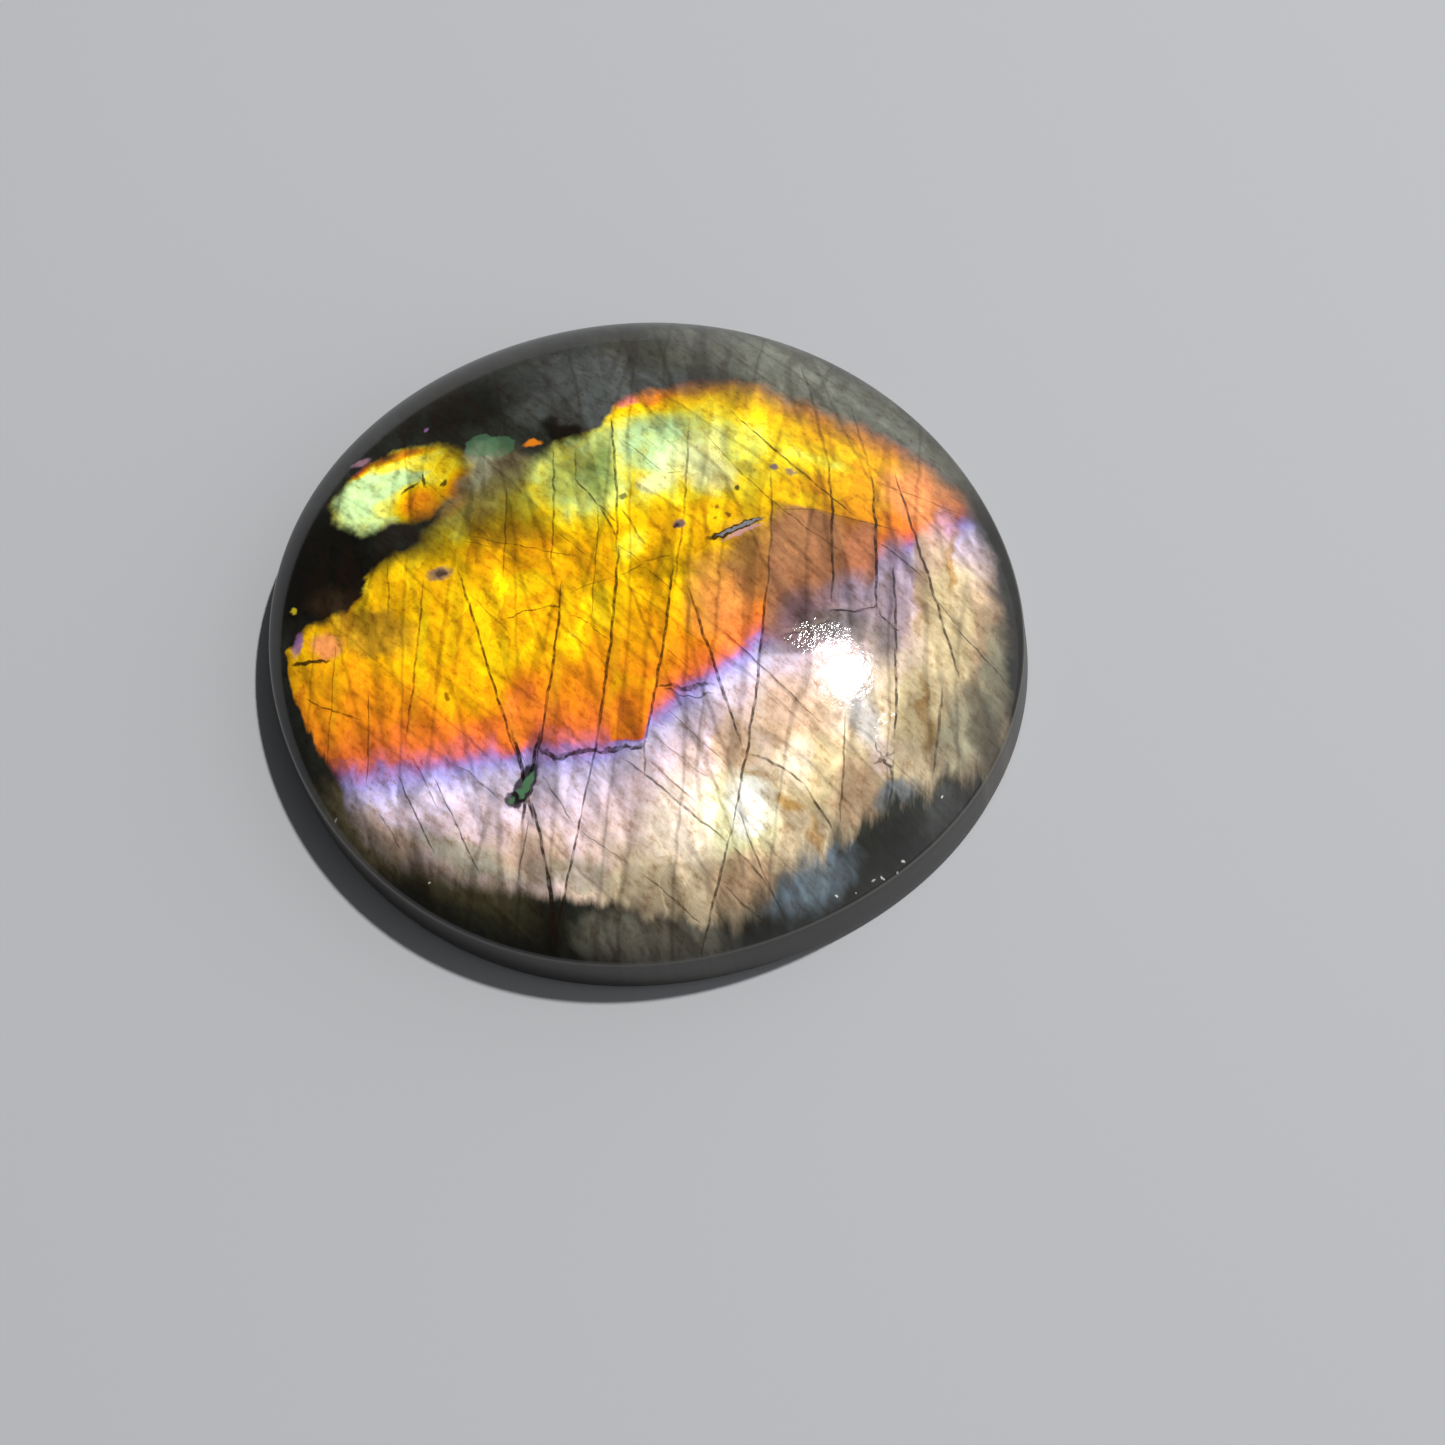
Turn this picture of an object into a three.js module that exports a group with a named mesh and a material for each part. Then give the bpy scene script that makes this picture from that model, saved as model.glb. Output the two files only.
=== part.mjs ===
// An oval labradorite cabochon: one piece of polished feldspar with a flat back, a narrow
// bevel round the back, a low side wall and a full, smoothly rounded dome.
// Millimetres, +Z up. The flat back lies on z = 0 and the long axis lies along X.
import * as THREE from "three";

// Driving dimensions
const LENGTH = 35; // along X
const WIDTH = 32.4; // along Y
const THICKNESS = 7.4; // from the flat back to the top of the dome
const RIM_HEIGHT = 2.9; // from the flat back to the edge where the wall meets the dome
const BACK_BEVEL = 0.45; // how far the bevel round the back runs in, and up
const WALL_LEAN = 0.12; // how far the wall leans in between the bevel and the rim
const RIM_ROUND = 0.22; // how far the softened rim reaches down the wall and in over the dome
const DOME_FULLNESS = 0.965; // share of a half ellipsoid's reach that the dome spends: 1 meets the rim upright

// The stone is ground by hand, so its outline strays from a true oval by these shares of its radius.
const THREE_SIDED = { share: 0.0055, turn: THREE.MathUtils.degToRad(11) };
const FOUR_SIDED = { share: 0.0065, turn: THREE.MathUtils.degToRad(-7) };

// Fineness of the facets
const STEPS_ROUND = 96;
const STEPS_OVER_DOME = 20;
const STEPS_OVER_RIM = 3;

const MEAN_RADIUS = (LENGTH + WIDTH) / 4;

// Share by which the ground outline stands out past the true oval, at an angle about Z.
function outlineShare(angle) {
  const three = THREE_SIDED.share * Math.cos(3 * (angle - THREE_SIDED.turn));
  const four = FOUR_SIDED.share * Math.cos(4 * (angle - FOUR_SIDED.turn));
  return 1 + three + four;
}

// The dome's points from the rim to the top, as shares of its reach with their heights.
// They lie on an ellipsoid that is cut off a little before its sides stand upright.
function domePoints(rimRadius, rimHeight) {
  const widest = Math.asin(DOME_FULLNESS);
  const rise = THICKNESS - rimHeight;
  const points = [];
  for (let step = 0; step <= STEPS_OVER_DOME; step++) {
    const angle = widest * (1 - step / STEPS_OVER_DOME);
    const reach = (rimRadius * Math.sin(angle)) / DOME_FULLNESS;
    const height = (rise * (Math.cos(angle) - Math.cos(widest))) / (1 - Math.cos(widest));
    points.push(new THREE.Vector2(reach, rimHeight + height));
  }
  return points;
}

// The softened rim: a quadratic curve from the wall to the dome's first facet, round the sharp corner.
function rimPoints(wallTop, corner, domeStart) {
  return new THREE.QuadraticBezierCurve(wallTop, corner, domeStart).getPoints(STEPS_OVER_RIM);
}

// The profile that is turned about Z, drawn for a round stone of the mean radius.
function profile(radius) {
  const corner = new THREE.Vector2(radius - WALL_LEAN, RIM_HEIGHT);
  const wallTop = new THREE.Vector2(corner.x, RIM_HEIGHT - RIM_ROUND);
  const dome = domePoints(corner.x, RIM_HEIGHT);
  const overDome = dome[1].clone().sub(dome[0]).setLength(RIM_ROUND);
  const domeStart = dome[0].clone().add(overDome);
  return [
    new THREE.Vector2(0, 0),
    new THREE.Vector2(radius - BACK_BEVEL, 0),
    new THREE.Vector2(radius, BACK_BEVEL),
    ...rimPoints(wallTop, corner, domeStart),
    ...dome.slice(1),
  ];
}

// Stretches the round stone to the oval, ground outline and centres it over the origin.
function shapeOutline(geometry) {
  const position = geometry.getAttribute("position");
  for (let i = 0; i < position.count; i++) {
    const share = outlineShare(Math.atan2(position.getY(i), position.getX(i)));
    const along = (position.getX(i) * share * LENGTH) / 2 / MEAN_RADIUS;
    const across = (position.getY(i) * share * WIDTH) / 2 / MEAN_RADIUS;
    position.setXY(i, along, across);
  }
  geometry.computeBoundingBox();
  const centre = geometry.boundingBox.getCenter(new THREE.Vector3());
  geometry.translate(-centre.x, -centre.y, 0);
  geometry.computeVertexNormals();
}

function cabochonGeometry() {
  const geometry = new THREE.LatheGeometry(profile(MEAN_RADIUS), STEPS_ROUND);
  geometry.rotateX(Math.PI / 2);
  shapeOutline(geometry);
  return geometry;
}

const polishedLabradorite = new THREE.MeshStandardMaterial({
  color: 0x6f6858,
  roughness: 0.12,
  metalness: 0,
});

const cabochon = new THREE.Mesh(cabochonGeometry(), polishedLabradorite);
cabochon.name = "cabochon";

const stone = new THREE.Group();
stone.add(cabochon);

export default stone;
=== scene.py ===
import math

import bpy
from bpy.props import FloatProperty, FloatVectorProperty, IntProperty, PointerProperty
from bpy.types import Operator, Panel, PropertyGroup
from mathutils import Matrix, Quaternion, Vector


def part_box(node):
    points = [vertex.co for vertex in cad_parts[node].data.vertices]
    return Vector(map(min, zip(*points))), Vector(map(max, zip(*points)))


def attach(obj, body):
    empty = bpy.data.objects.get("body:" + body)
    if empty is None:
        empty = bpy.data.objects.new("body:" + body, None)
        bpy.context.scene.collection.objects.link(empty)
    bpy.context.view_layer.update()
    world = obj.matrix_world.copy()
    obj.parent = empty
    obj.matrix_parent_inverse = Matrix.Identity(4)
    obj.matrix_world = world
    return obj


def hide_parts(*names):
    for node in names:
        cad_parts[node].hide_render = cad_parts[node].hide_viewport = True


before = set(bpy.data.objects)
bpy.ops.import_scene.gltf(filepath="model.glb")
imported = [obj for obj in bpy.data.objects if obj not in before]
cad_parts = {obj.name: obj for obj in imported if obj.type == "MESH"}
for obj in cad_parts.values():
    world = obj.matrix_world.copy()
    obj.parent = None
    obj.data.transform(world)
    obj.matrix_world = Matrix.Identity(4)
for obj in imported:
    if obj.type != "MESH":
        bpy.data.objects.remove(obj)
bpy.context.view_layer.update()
stone_low, stone_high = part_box("cabochon")

bl_info = {
    "name": "Labradorite cabochon",
    "version": (1, 0, 0),
    "blender": (4, 5, 0),
    "location": "3D View > Sidebar > Cabochon",
    "description": "Cuts an oval cabochon, gives it a labradorite's flash and polish, and sets a plain stage",
    "category": "Add Mesh",
}

MM = 0.001


# Colours

def linear(channel):
    """One channel from 0 to 1 as a screen shows it, turned into linear light."""
    if channel <= 0.04045:
        return channel / 12.92
    return ((channel + 0.055) / 1.055) ** 2.4


def colour_property(name, shown, description):
    """A colour setting. The colour is written as a screen shows it, from 0 to 255."""
    return FloatVectorProperty(
        name=name,
        description=description,
        default=[linear(channel / 255) for channel in shown],
        size=3,
        min=0,
        max=1,
        subtype="COLOR",
    )


def length_property(name, default, description):
    """A length setting in metres."""
    options = {"min": 0, "unit": "LENGTH", "precision": 5}
    return FloatProperty(name=name, description=description, default=default, **options)


class CabochonSizes(PropertyGroup):
    """The stone's sizes. They are the ones that its solid was cut to."""

    length: length_property("Length", 35.0 * MM, "Along the oval, before the hand-ground outline strays")
    width: length_property("Width", 32.4 * MM, "Across the oval, before the hand-ground outline strays")
    thickness: length_property("Thickness", stone_high.z - stone_low.z, "From the flat back to the dome's top")
    rim_height: length_property("Rim height", 2.9 * MM, "From the flat back to where the wall meets the dome")
    back_bevel: length_property("Back bevel", 0.45 * MM, "How far the bevel round the back runs in, and up")
    wall_lean: length_property("Wall lean", 0.12 * MM, "How far the wall leans in from the bevel to the rim")
    rim_round: length_property("Rim round", 0.22 * MM, "How far the softened rim reaches to either side")
    back_round: length_property("Back round", 0.06 * MM, "How far the worn edges round the back reach")
    dome_fullness: FloatProperty(
        name="Dome fullness",
        description="Share of a half ellipsoid's reach that the dome spends",
        default=0.965,
        min=0.3,
        max=0.995,
        subtype="FACTOR",
    )
    three_sided: FloatProperty(
        name="Three-sided stray",
        description="Share of the radius by which the outline tends to three sides",
        default=0.0055,
        precision=4,
        subtype="FACTOR",
    )
    three_turn: FloatProperty(
        name="Three-sided turn",
        description="Where the first of the three sides' corners lies",
        default=math.radians(11),
        subtype="ANGLE",
    )
    four_sided: FloatProperty(
        name="Four-sided stray",
        description="Share of the radius by which the outline tends to four sides",
        default=0.0065,
        precision=4,
        subtype="FACTOR",
    )
    four_turn: FloatProperty(
        name="Four-sided turn",
        description="Where the first of the four sides' corners lies",
        default=math.radians(-7),
        subtype="ANGLE",
    )
    steps_round: IntProperty(
        name="Steps round",
        description="Faces in one ring round the stone",
        default=480,
        min=24,
    )


class FlashColours(PropertyGroup):
    """The colours of the flash, in the order in which they follow one another over the stone."""

    mint: colour_property("Mint", (190, 222, 154), "Deepest inside the flash")
    celadon: colour_property("Celadon", (216, 228, 124), "Between mint and lime")
    lime: colour_property("Lime", (238, 234, 90), "Pale yellow-green")
    lemon: colour_property("Lemon", (254, 226, 40), "Clear yellow")
    yellow: colour_property("Yellow", (255, 206, 8), "Full yellow")
    gold: colour_property("Gold", (246, 178, 6), "Gold of the wide middle")
    amber: colour_property("Amber", (242, 156, 14), "Between gold and orange")
    orange: colour_property("Orange", (240, 136, 24), "Orange before the front")
    ember: colour_property("Ember", (238, 118, 50), "Red-orange before the front")
    rose: colour_property("Rose", (222, 112, 106), "The thin pink line of the front")
    violet: colour_property("Violet", (172, 120, 178), "Just past the front")
    periwinkle: colour_property("Periwinkle", (170, 160, 226), "Blue-violet past the front")
    lavender: colour_property("Lavender", (212, 200, 228), "Pale lavender past the front")
    pearl: colour_property("Pearl", (230, 206, 216), "Lavender white past the front")
    blush: colour_property("Blush", (236, 208, 200), "Pinkish cream past the front")
    cream: colour_property("Cream", (236, 214, 176), "Yellowish cream, far past the front")
    fawn: colour_property("Fawn", (204, 184, 150), "Greyish cream, furthest past the front")


class TintColours(PropertyGroup):
    """Colours that lie over the bands of the flash in patches."""

    fern: colour_property("Fern", (128, 156, 84), "Grey-green beside the mint")
    aqua: colour_property("Aqua", (170, 220, 190), "Blue-green shimmer in the mint")
    ice: colour_property("Ice", (244, 250, 186), "Nearly white yellow-green")
    salmon: colour_property("Salmon", (242, 150, 92), "Pink-orange near the far end of the front")
    orchid: colour_property("Orchid", (214, 160, 180), "Pink-violet at the far end of the front")
    tan: colour_property("Tan", (216, 180, 142), "Brownish cream")
    sand: colour_property("Sand", (230, 208, 158), "Warm cream")
    reed: colour_property("Reed", (162, 164, 136), "Grey-green near the right edge")
    # The white-hot spot of the flash, partly a painted highlight, and the painted glints on the rim.
    white_flash_and_glint: colour_property("Snow", (255, 253, 240), "The whitest flash")
    silk: colour_property("Silk", (244, 230, 212), "Bright, warm white")
    olive: colour_property("Olive", (148, 110, 26), "Dimmed olive-gold")
    bronze: colour_property("Bronze", (92, 70, 30), "Dark olive-brown")
    copper: colour_property("Copper", (166, 115, 82), "Dimmed brown of a tilted plate")
    russet: colour_property("Russet", (184, 118, 82), "Dimmed red-brown of a tilted plate")
    plum: colour_property("Plum", (112, 90, 100), "Purple-grey")
    mauve: colour_property("Mauve", (158, 138, 154), "Pale purple-grey")
    ochre: colour_property("Ochre", (176, 128, 48), "Rust in the cleavages")
    # A painted reflection: the bluish-white tail of the dome's highlight.
    haze: colour_property("Haze", (196, 206, 222), "Bluish white")


class BodyColours(PropertyGroup):
    """The colours of the feldspar itself, where it doesn't flash, and of what lies in it."""

    body: colour_property("Body", (38, 40, 34), "The dark feldspar")
    # Partly the stone's own haze, partly a painted reflection of the bright sky on the far side of the dome.
    veil_and_sky_reflection: colour_property("Veil", (106, 108, 96), "Grey haze over the far side of the dome")
    slate: colour_property("Slate", (78, 82, 80), "Blue-grey feldspar")
    steel: colour_property("Steel", (108, 122, 132), "Steel-blue glow at the end of the flash")
    soot: colour_property("Soot", (12, 10, 4), "Near-black feldspar")
    umber: colour_property("Umber", (46, 34, 20), "Brown-black feldspar")
    moss: colour_property("Moss", (56, 54, 34), "Olive-grey feldspar")
    loam: colour_property("Loam", (104, 94, 68), "Brownish grey where the flash dies out in the feldspar")
    smoke: colour_property("Smoke", (100, 97, 86), "Grey, half-clear feldspar")
    crack: colour_property("Crack", (34, 18, 6), "What a cleavage line darkens to")
    malachite: colour_property("Green speck", (88, 132, 94), "The green inclusion")
    silver: colour_property("Silver", (140, 138, 140), "The slit's lining")
    wall: colour_property("Wall", (32, 28, 22), "The ground side wall and back")
    # A painted highlight: the lighter line along the rim's edge, where the dome meets the wall.
    edge: colour_property("Edge", (132, 130, 122), "The scuffed edge between the dome and the wall")


class StageSettings(PropertyGroup):
    """The floor, the lights and the camera."""

    floor: colour_property("Floor", (186, 187, 189), "The plain floor")
    sky: colour_property("Sky", (248, 250, 255), "The soft light from all round")
    sky_low: FloatProperty(name="Dim sky", description="Brightness overhead and on the left", default=0.06)
    sky_high: FloatProperty(name="Bright sky", description="Brightness low on the far right", default=1.0)
    key_power: FloatProperty(name="Key power", description="The small light that the dome mirrors", default=3.0)
    lens: FloatProperty(name="Lens", description="Focal length in millimetres on a 36 mm sensor", default=80.0)


# The stone's form

STEPS_OVER_DOME = 72
STEPS_OVER_CORNER = 6
STEPS_OVER_BACK = 5
STEPS_UP_WALL = 4
SMOOTH_UNDER = math.radians(25)


def outline_share(angle, sizes):
    """Share by which the ground outline stands out past the true oval, at an angle about Z."""
    three = sizes.three_sided * math.cos(3 * (angle - sizes.three_turn))
    four = sizes.four_sided * math.cos(4 * (angle - sizes.four_turn))
    return 1 + three + four


def dome_points(reach, sizes):
    """The dome's profile from the rim to the top: an ellipsoid cut off before its sides stand upright."""
    widest = math.asin(sizes.dome_fullness)
    rise = sizes.thickness - sizes.rim_height
    points = []
    for step in range(STEPS_OVER_DOME + 1):
        angle = widest * (1 - step / STEPS_OVER_DOME)
        across = reach * math.sin(angle) / sizes.dome_fullness
        up = rise * (math.cos(angle) - math.cos(widest)) / (1 - math.cos(widest))
        points.append(Vector((across, 0, sizes.rim_height + up)))
    return points


def rounded(before, corner, after, reach):
    """Points round a worn corner, on a curve that starts and ends the given reach away from it."""
    start = corner + (before - corner).normalized() * reach
    end = corner + (after - corner).normalized() * reach
    points = []
    for step in range(STEPS_OVER_CORNER + 1):
        share = step / STEPS_OVER_CORNER
        points.append(start.lerp(corner, share).lerp(corner.lerp(end, share), share))
    return points


def between(start, end, steps):
    """Points that divide the way from start to end, without the two ends."""
    return [start.lerp(end, step / steps) for step in range(1, steps)]


def stone_profile(radius, sizes):
    """The half profile of a round stone of that radius, from the back's middle to the dome's top."""
    middle = Vector((0, 0, 0))
    back_edge = Vector((radius - sizes.back_bevel, 0, 0))
    bevel_top = Vector((radius, 0, sizes.back_bevel))
    rim = Vector((radius - sizes.wall_lean, 0, sizes.rim_height))
    dome = dome_points(rim.x, sizes)
    round_back = rounded(middle, back_edge, bevel_top, sizes.back_round)
    round_bevel = rounded(back_edge, bevel_top, rim, sizes.back_round)
    round_rim = rounded(bevel_top, rim, dome[2], sizes.rim_round)
    over_dome = [point for point in dome if point.z > round_rim[-1].z + 0.1 * sizes.rim_round]
    points = [middle]
    points += between(middle, round_back[0], STEPS_OVER_BACK)
    points += round_back
    points += round_bevel
    points += between(round_bevel[-1], round_rim[0], STEPS_UP_WALL)
    points += round_rim
    points += over_dome
    return points


def draw_line(points):
    """Draws an open line by extruding one vertex from each point to the next. It leaves edit mode on."""
    bpy.ops.mesh.primitive_circle_add(vertices=3, radius=MM)
    bpy.ops.object.mode_set(mode="EDIT")
    bpy.ops.mesh.merge(type="CENTER")
    for here, there in zip(points, points[1:]):
        bpy.ops.mesh.extrude_region_move(TRANSFORM_OT_translate={"value": there - here})


def shape_outline(mesh, radius, sizes):
    """Stretches the round stone to its oval, hand-ground outline and centres it over the origin."""
    for vertex in mesh.vertices:
        share = outline_share(math.atan2(vertex.co.y, vertex.co.x), sizes)
        vertex.co.x *= share * sizes.length / 2 / radius
        vertex.co.y *= share * sizes.width / 2 / radius
    for axis in (0, 1):
        places = [vertex.co[axis] for vertex in mesh.vertices]
        middle = (min(places) + max(places)) / 2
        for vertex in mesh.vertices:
            vertex.co[axis] -= middle


def cut_stone(sizes):
    """Models the whole stone: its profile is turned about Z, closed, and ground to its outline."""
    radius = (sizes.length + sizes.width) / 4
    bpy.ops.object.select_all(action="DESELECT")
    draw_line(stone_profile(radius, sizes))
    bpy.ops.mesh.select_all(action="SELECT")
    bpy.ops.mesh.spin(steps=sizes.steps_round, angle=math.tau, center=(0, 0, 0), axis=(0, 0, 1))
    bpy.ops.mesh.select_all(action="SELECT")
    bpy.ops.mesh.remove_doubles(threshold=1e-4 * MM)
    bpy.ops.mesh.normals_make_consistent(inside=False)
    bpy.ops.object.mode_set(mode="OBJECT")
    stone = bpy.context.active_object
    stone.name = "polished_cabochon"
    stone.data.name = "polished_cabochon"
    shape_outline(stone.data, radius, sizes)
    bpy.ops.object.shade_smooth_by_angle(angle=SMOOTH_UNDER)
    return stone


# Shader nodes

BLACK = (0.0, 0.0, 0.0, 1.0)


class Field:
    """What a node gives out. Python's operators on a number that varies over the stone add Math nodes."""

    def __init__(self, bench, socket):
        self.bench = bench
        self.socket = socket

    def __add__(self, other):
        return self.bench.math("ADD", self, other)

    def __radd__(self, other):
        return self.bench.math("ADD", other, self)

    def __sub__(self, other):
        return self.bench.math("SUBTRACT", self, other)

    def __rsub__(self, other):
        return self.bench.math("SUBTRACT", other, self)

    def __mul__(self, other):
        return self.bench.math("MULTIPLY", self, other)

    def __rmul__(self, other):
        return self.bench.math("MULTIPLY", other, self)

    def __truediv__(self, other):
        return self.bench.math("DIVIDE", self, other)

    def __abs__(self):
        return self.bench.math("ABSOLUTE", self)


class Bench:
    """A node tree, with short ways to add what the stone's finish needs."""

    def __init__(self, tree):
        self.nodes = tree.nodes
        self.links = tree.links

    def node(self, kind, settings=None, sockets=None, output=0):
        """Adds a node, makes its settings, then fills its sockets with values or with other nodes' outputs."""
        made = self.nodes.new(kind)
        for name, value in (settings or {}).items():
            if name == "stops":
                set_stops(made.color_ramp, value)
            else:
                setattr(made, name, value)
        for name, value in (sockets or {}).items():
            if isinstance(value, Field):
                self.links.new(value.socket, made.inputs[name])
            else:
                made.inputs[name].default_value = value
        return Field(self, made.outputs[output])

    def math(self, operation, *values):
        return self.node("ShaderNodeMath", {"operation": operation}, dict(enumerate(values)))

    def vector(self, operation, *values, output=0):
        return self.node("ShaderNodeVectorMath", {"operation": operation}, dict(enumerate(values)), output)

    def dot(self, place, weights):
        """The sum of a place's three numbers, each times its weight."""
        return self.vector("DOT_PRODUCT", place, weights, output=1)

    def dimmed(self, colour, brightness):
        """The colour times a number, which may be more than 1."""
        settings = {"data_type": "RGBA", "clamp_factor": False}
        return self.node("ShaderNodeMix", settings, {0: brightness, 6: BLACK, 7: colour}, 2)

    def ease(self, value, start, end, low=0.0, high=1.0):
        """Goes smoothly from low to high as the value goes from start to end, and stays there."""
        settings = {"interpolation_type": "SMOOTHSTEP"}
        return self.node("ShaderNodeMapRange", settings, {0: value, 1: start, 2: end, 3: low, 4: high})

    def noise(self, place, scale, detail=2.0, roughness=0.5):
        settings = {"noise_dimensions": "2D"}
        sockets = {"Vector": place, "Scale": scale, "Detail": detail, "Roughness": roughness}
        return self.node("ShaderNodeTexNoise", settings, sockets)

    def mix(self, share, under, over, blend="MIX"):
        settings = {"data_type": "RGBA", "blend_type": blend}
        return self.node("ShaderNodeMix", settings, {0: share, 6: under, 7: over}, 2)

    def ramp(self, value, low, high, rows):
        """Reads a ramp at a value that runs from low to high. Rows are pairs of a value and a colour."""
        stops = [((at - low) / (high - low), colour) for at, colour in rows]
        share = self.node("ShaderNodeMapRange", None, {0: value, 1: low, 2: high})
        return self.node("ShaderNodeValToRGB", {"stops": stops}, {0: share})

    def group(self, name, *values):
        """Adds a node group by its name and fills its sockets in order."""
        settings = {"node_tree": bpy.data.node_groups[name]}
        return self.node("ShaderNodeGroup", settings, dict(enumerate(values)))


def set_stops(ramp, stops):
    """Gives a colour ramp its stops: pairs of a position and a colour."""
    while len(ramp.elements) > 1:
        ramp.elements.remove(ramp.elements[-1])
    ramp.elements[0].position, ramp.elements[0].color = stops[0]
    for position, colour in stops[1:]:
        ramp.elements.new(position).color = colour


def make_group(name, sockets, result_kind, lay_out):
    """Makes a node group. Its sockets are given by name and kind, and lay_out adds its nodes."""
    tree = bpy.data.node_groups.new(name, "ShaderNodeTree")
    for label, kind in sockets.items():
        tree.interface.new_socket(label, in_out="INPUT", socket_type="NodeSocket" + kind)
    tree.interface.new_socket("Result", in_out="OUTPUT", socket_type="NodeSocket" + result_kind)
    bench = Bench(tree)
    given = tree.nodes.new("NodeGroupInput")
    result = lay_out(bench, *[Field(bench, given.outputs[label]) for label in sockets])
    tree.links.new(result.socket, tree.nodes.new("NodeGroupOutput").inputs["Result"])


def palette(*groups):
    """All colours of the groups by name, as a node socket takes them."""
    colours = {}
    for group in groups:
        for name in type(group).__annotations__:
            colours[name] = (*getattr(group, name), 1.0)
    return colours


# Places on the stone. A plan place is (x, y, 1) in millimetres, seen from above. The 1 lets one dot
# product also add a constant. The steep cleavage fans out and bends a little, so a grain place is
# (across, y, 1), where across stays the same along a cleavage line and is x where y is 0.

LEAN = 0.186
BEND = 0.0081
FAN = 0.0055
HALF_SPAN = 18.0


def to_grain(point):
    """A plan point, as (x, y), in grain places."""
    x, y = point
    return (x + y * (LEAN + BEND * y - FAN * x), y)


def plan_places(bench):
    """Plan places, and the height above the flat back in millimetres."""
    coordinates = bench.node("ShaderNodeTexCoord", output="Object")
    flat = bench.vector("MULTIPLY_ADD", coordinates, (1 / MM, 1 / MM, 0), (0, 0, 1))
    height = bench.dot(coordinates, (0, 0, 1 / MM))
    return flat, height


def strayed(bench, place, noise_scale, reach, detail=2.0):
    """The same places, each moved at random by up to about half the reach, in millimetres."""
    elsewhere = bench.vector("ADD", place, (2.5 * HALF_SPAN, 0, 0))
    sideways = bench.noise(place, noise_scale, detail)
    lengthways = bench.noise(elsewhere, noise_scale, detail)
    wander = bench.node("ShaderNodeCombineXYZ", None, {0: sideways, 1: lengthways})
    middle = bench.vector("ADD", place, (-reach / 2, -reach / 2, 0))
    return bench.vector("MULTIPLY_ADD", wander, (reach, reach, 0), middle)


def after(bench, colour, *places):
    """The same places, made to wait for a colour, so that fewer ovals are worked out and kept at once."""
    return [bench.vector("MULTIPLY_ADD", colour, (0, 0, 0), place) for place in places]


def grain_places(bench, place):
    """Grain places for plan places."""
    x = bench.dot(place, (1, 0, 0))
    y = bench.dot(place, (0, 1, 0))
    across = bench.math("MULTIPLY_ADD", y, bench.dot(place, (-FAN, BEND, LEAN)), x)
    return bench.node("ShaderNodeCombineXYZ", None, {0: across, 1: y, 2: 1.0})


def line_weights(start, end):
    """Weights whose dot product with a place is how far it lies to the left of the way from start to end."""
    length = math.dist(start, end)
    left_x, left_y = (start[1] - end[1]) / length, (end[0] - start[0]) / length
    return left_x, left_y, -(left_x * start[0] + left_y * start[1])


# An oval is a centre, two radii and a turn in degrees. Its reach is 0 at the centre and grows with the
# square of the distance to 1 at the edge. The spots and tints of ovals are node groups.

def level_reach(bench, place, scale, shift):
    """The reach of an oval that isn't turned."""
    local = bench.vector("MULTIPLY_ADD", place, scale, shift)
    return bench.dot(local, local)


def turned_reach(bench, place, along_weights, across_weights):
    """The reach of a turned oval."""
    along = bench.dot(place, along_weights)
    across = bench.dot(place, across_weights)
    return bench.math("MULTIPLY_ADD", across, across, along * along)


def seam_reach(bench, place, along_weights, across_weights, bow):
    """The reach of a line: like a turned oval's, but it tapers late, and may be bent sideways in its middle."""
    along = bench.dot(place, along_weights)
    ends = along * along
    across = bench.math("MULTIPLY_ADD", bow, ends, bench.dot(place, across_weights))
    return bench.math("MULTIPLY_ADD", across, across, ends * ends)


def lay_out_spot(reach):
    """A layout that is high inside the oval and low outside it."""

    def lay_out(bench, inner, low, high, *oval):
        return bench.ease(reach(bench, *oval), 1.0, inner, low, high)

    return lay_out


def lay_out_tint(reach):
    """A layout that lays one colour over another inside the oval."""

    def lay_out(bench, inner, strength, under, over, *oval):
        return bench.mix(bench.ease(reach(bench, *oval), 1.0, inner, 0.0, strength), under, over)

    return lay_out


def make_oval_groups():
    """The node groups that spots and tints are made of."""
    spot = {"Inner": "Float", "Low": "Float", "High": "Float"}
    tint = {"Inner": "Float", "Strength": "Float", "Under": "Color", "Over": "Color"}
    oval = {"Place": "Vector", "First": "Vector", "Second": "Vector"}
    for form, reach in (("level", level_reach), ("turned", turned_reach)):
        make_group(form + " spot", {**spot, **oval}, "Float", lay_out_spot(reach))
        make_group(form + " tint", {**tint, **oval}, "Color", lay_out_tint(reach))
    make_group("seam", {**spot, **oval, "Bow": "Float"}, "Float", lay_out_spot(seam_reach))


def turned_vectors(centre, radii, turn, bow=0.0):
    """The weights that tell how far along and across a turned oval a place lies."""
    cosine, sine = math.cos(math.radians(turn)), math.sin(math.radians(turn))
    along_centre = centre[0] * cosine + centre[1] * sine
    across_centre = centre[1] * cosine - centre[0] * sine + bow
    along = (cosine / radii[0], sine / radii[0], -along_centre / radii[0])
    across = (-sine / radii[1], cosine / radii[1], -across_centre / radii[1])
    return along, across


def oval_vectors(centre, radii, turn):
    """The form that an oval's groups take, and the two vectors that say where it lies."""
    if turn == 0:
        return "level", (1 / radii[0], 1 / radii[1], 0), (-centre[0] / radii[0], -centre[1] / radii[1], 0)
    return "turned", *turned_vectors(centre, radii, turn)


def blot(bench, place, centre, radii, turn=0.0, inner=0.0, low=0.0, high=1.0):
    """High inside a soft oval and low outside it. inner is the share of the reach where it is still full."""
    form, first, second = oval_vectors(centre, radii, turn)
    return bench.group(form + " spot", inner, low, high, place, first, second)


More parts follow.
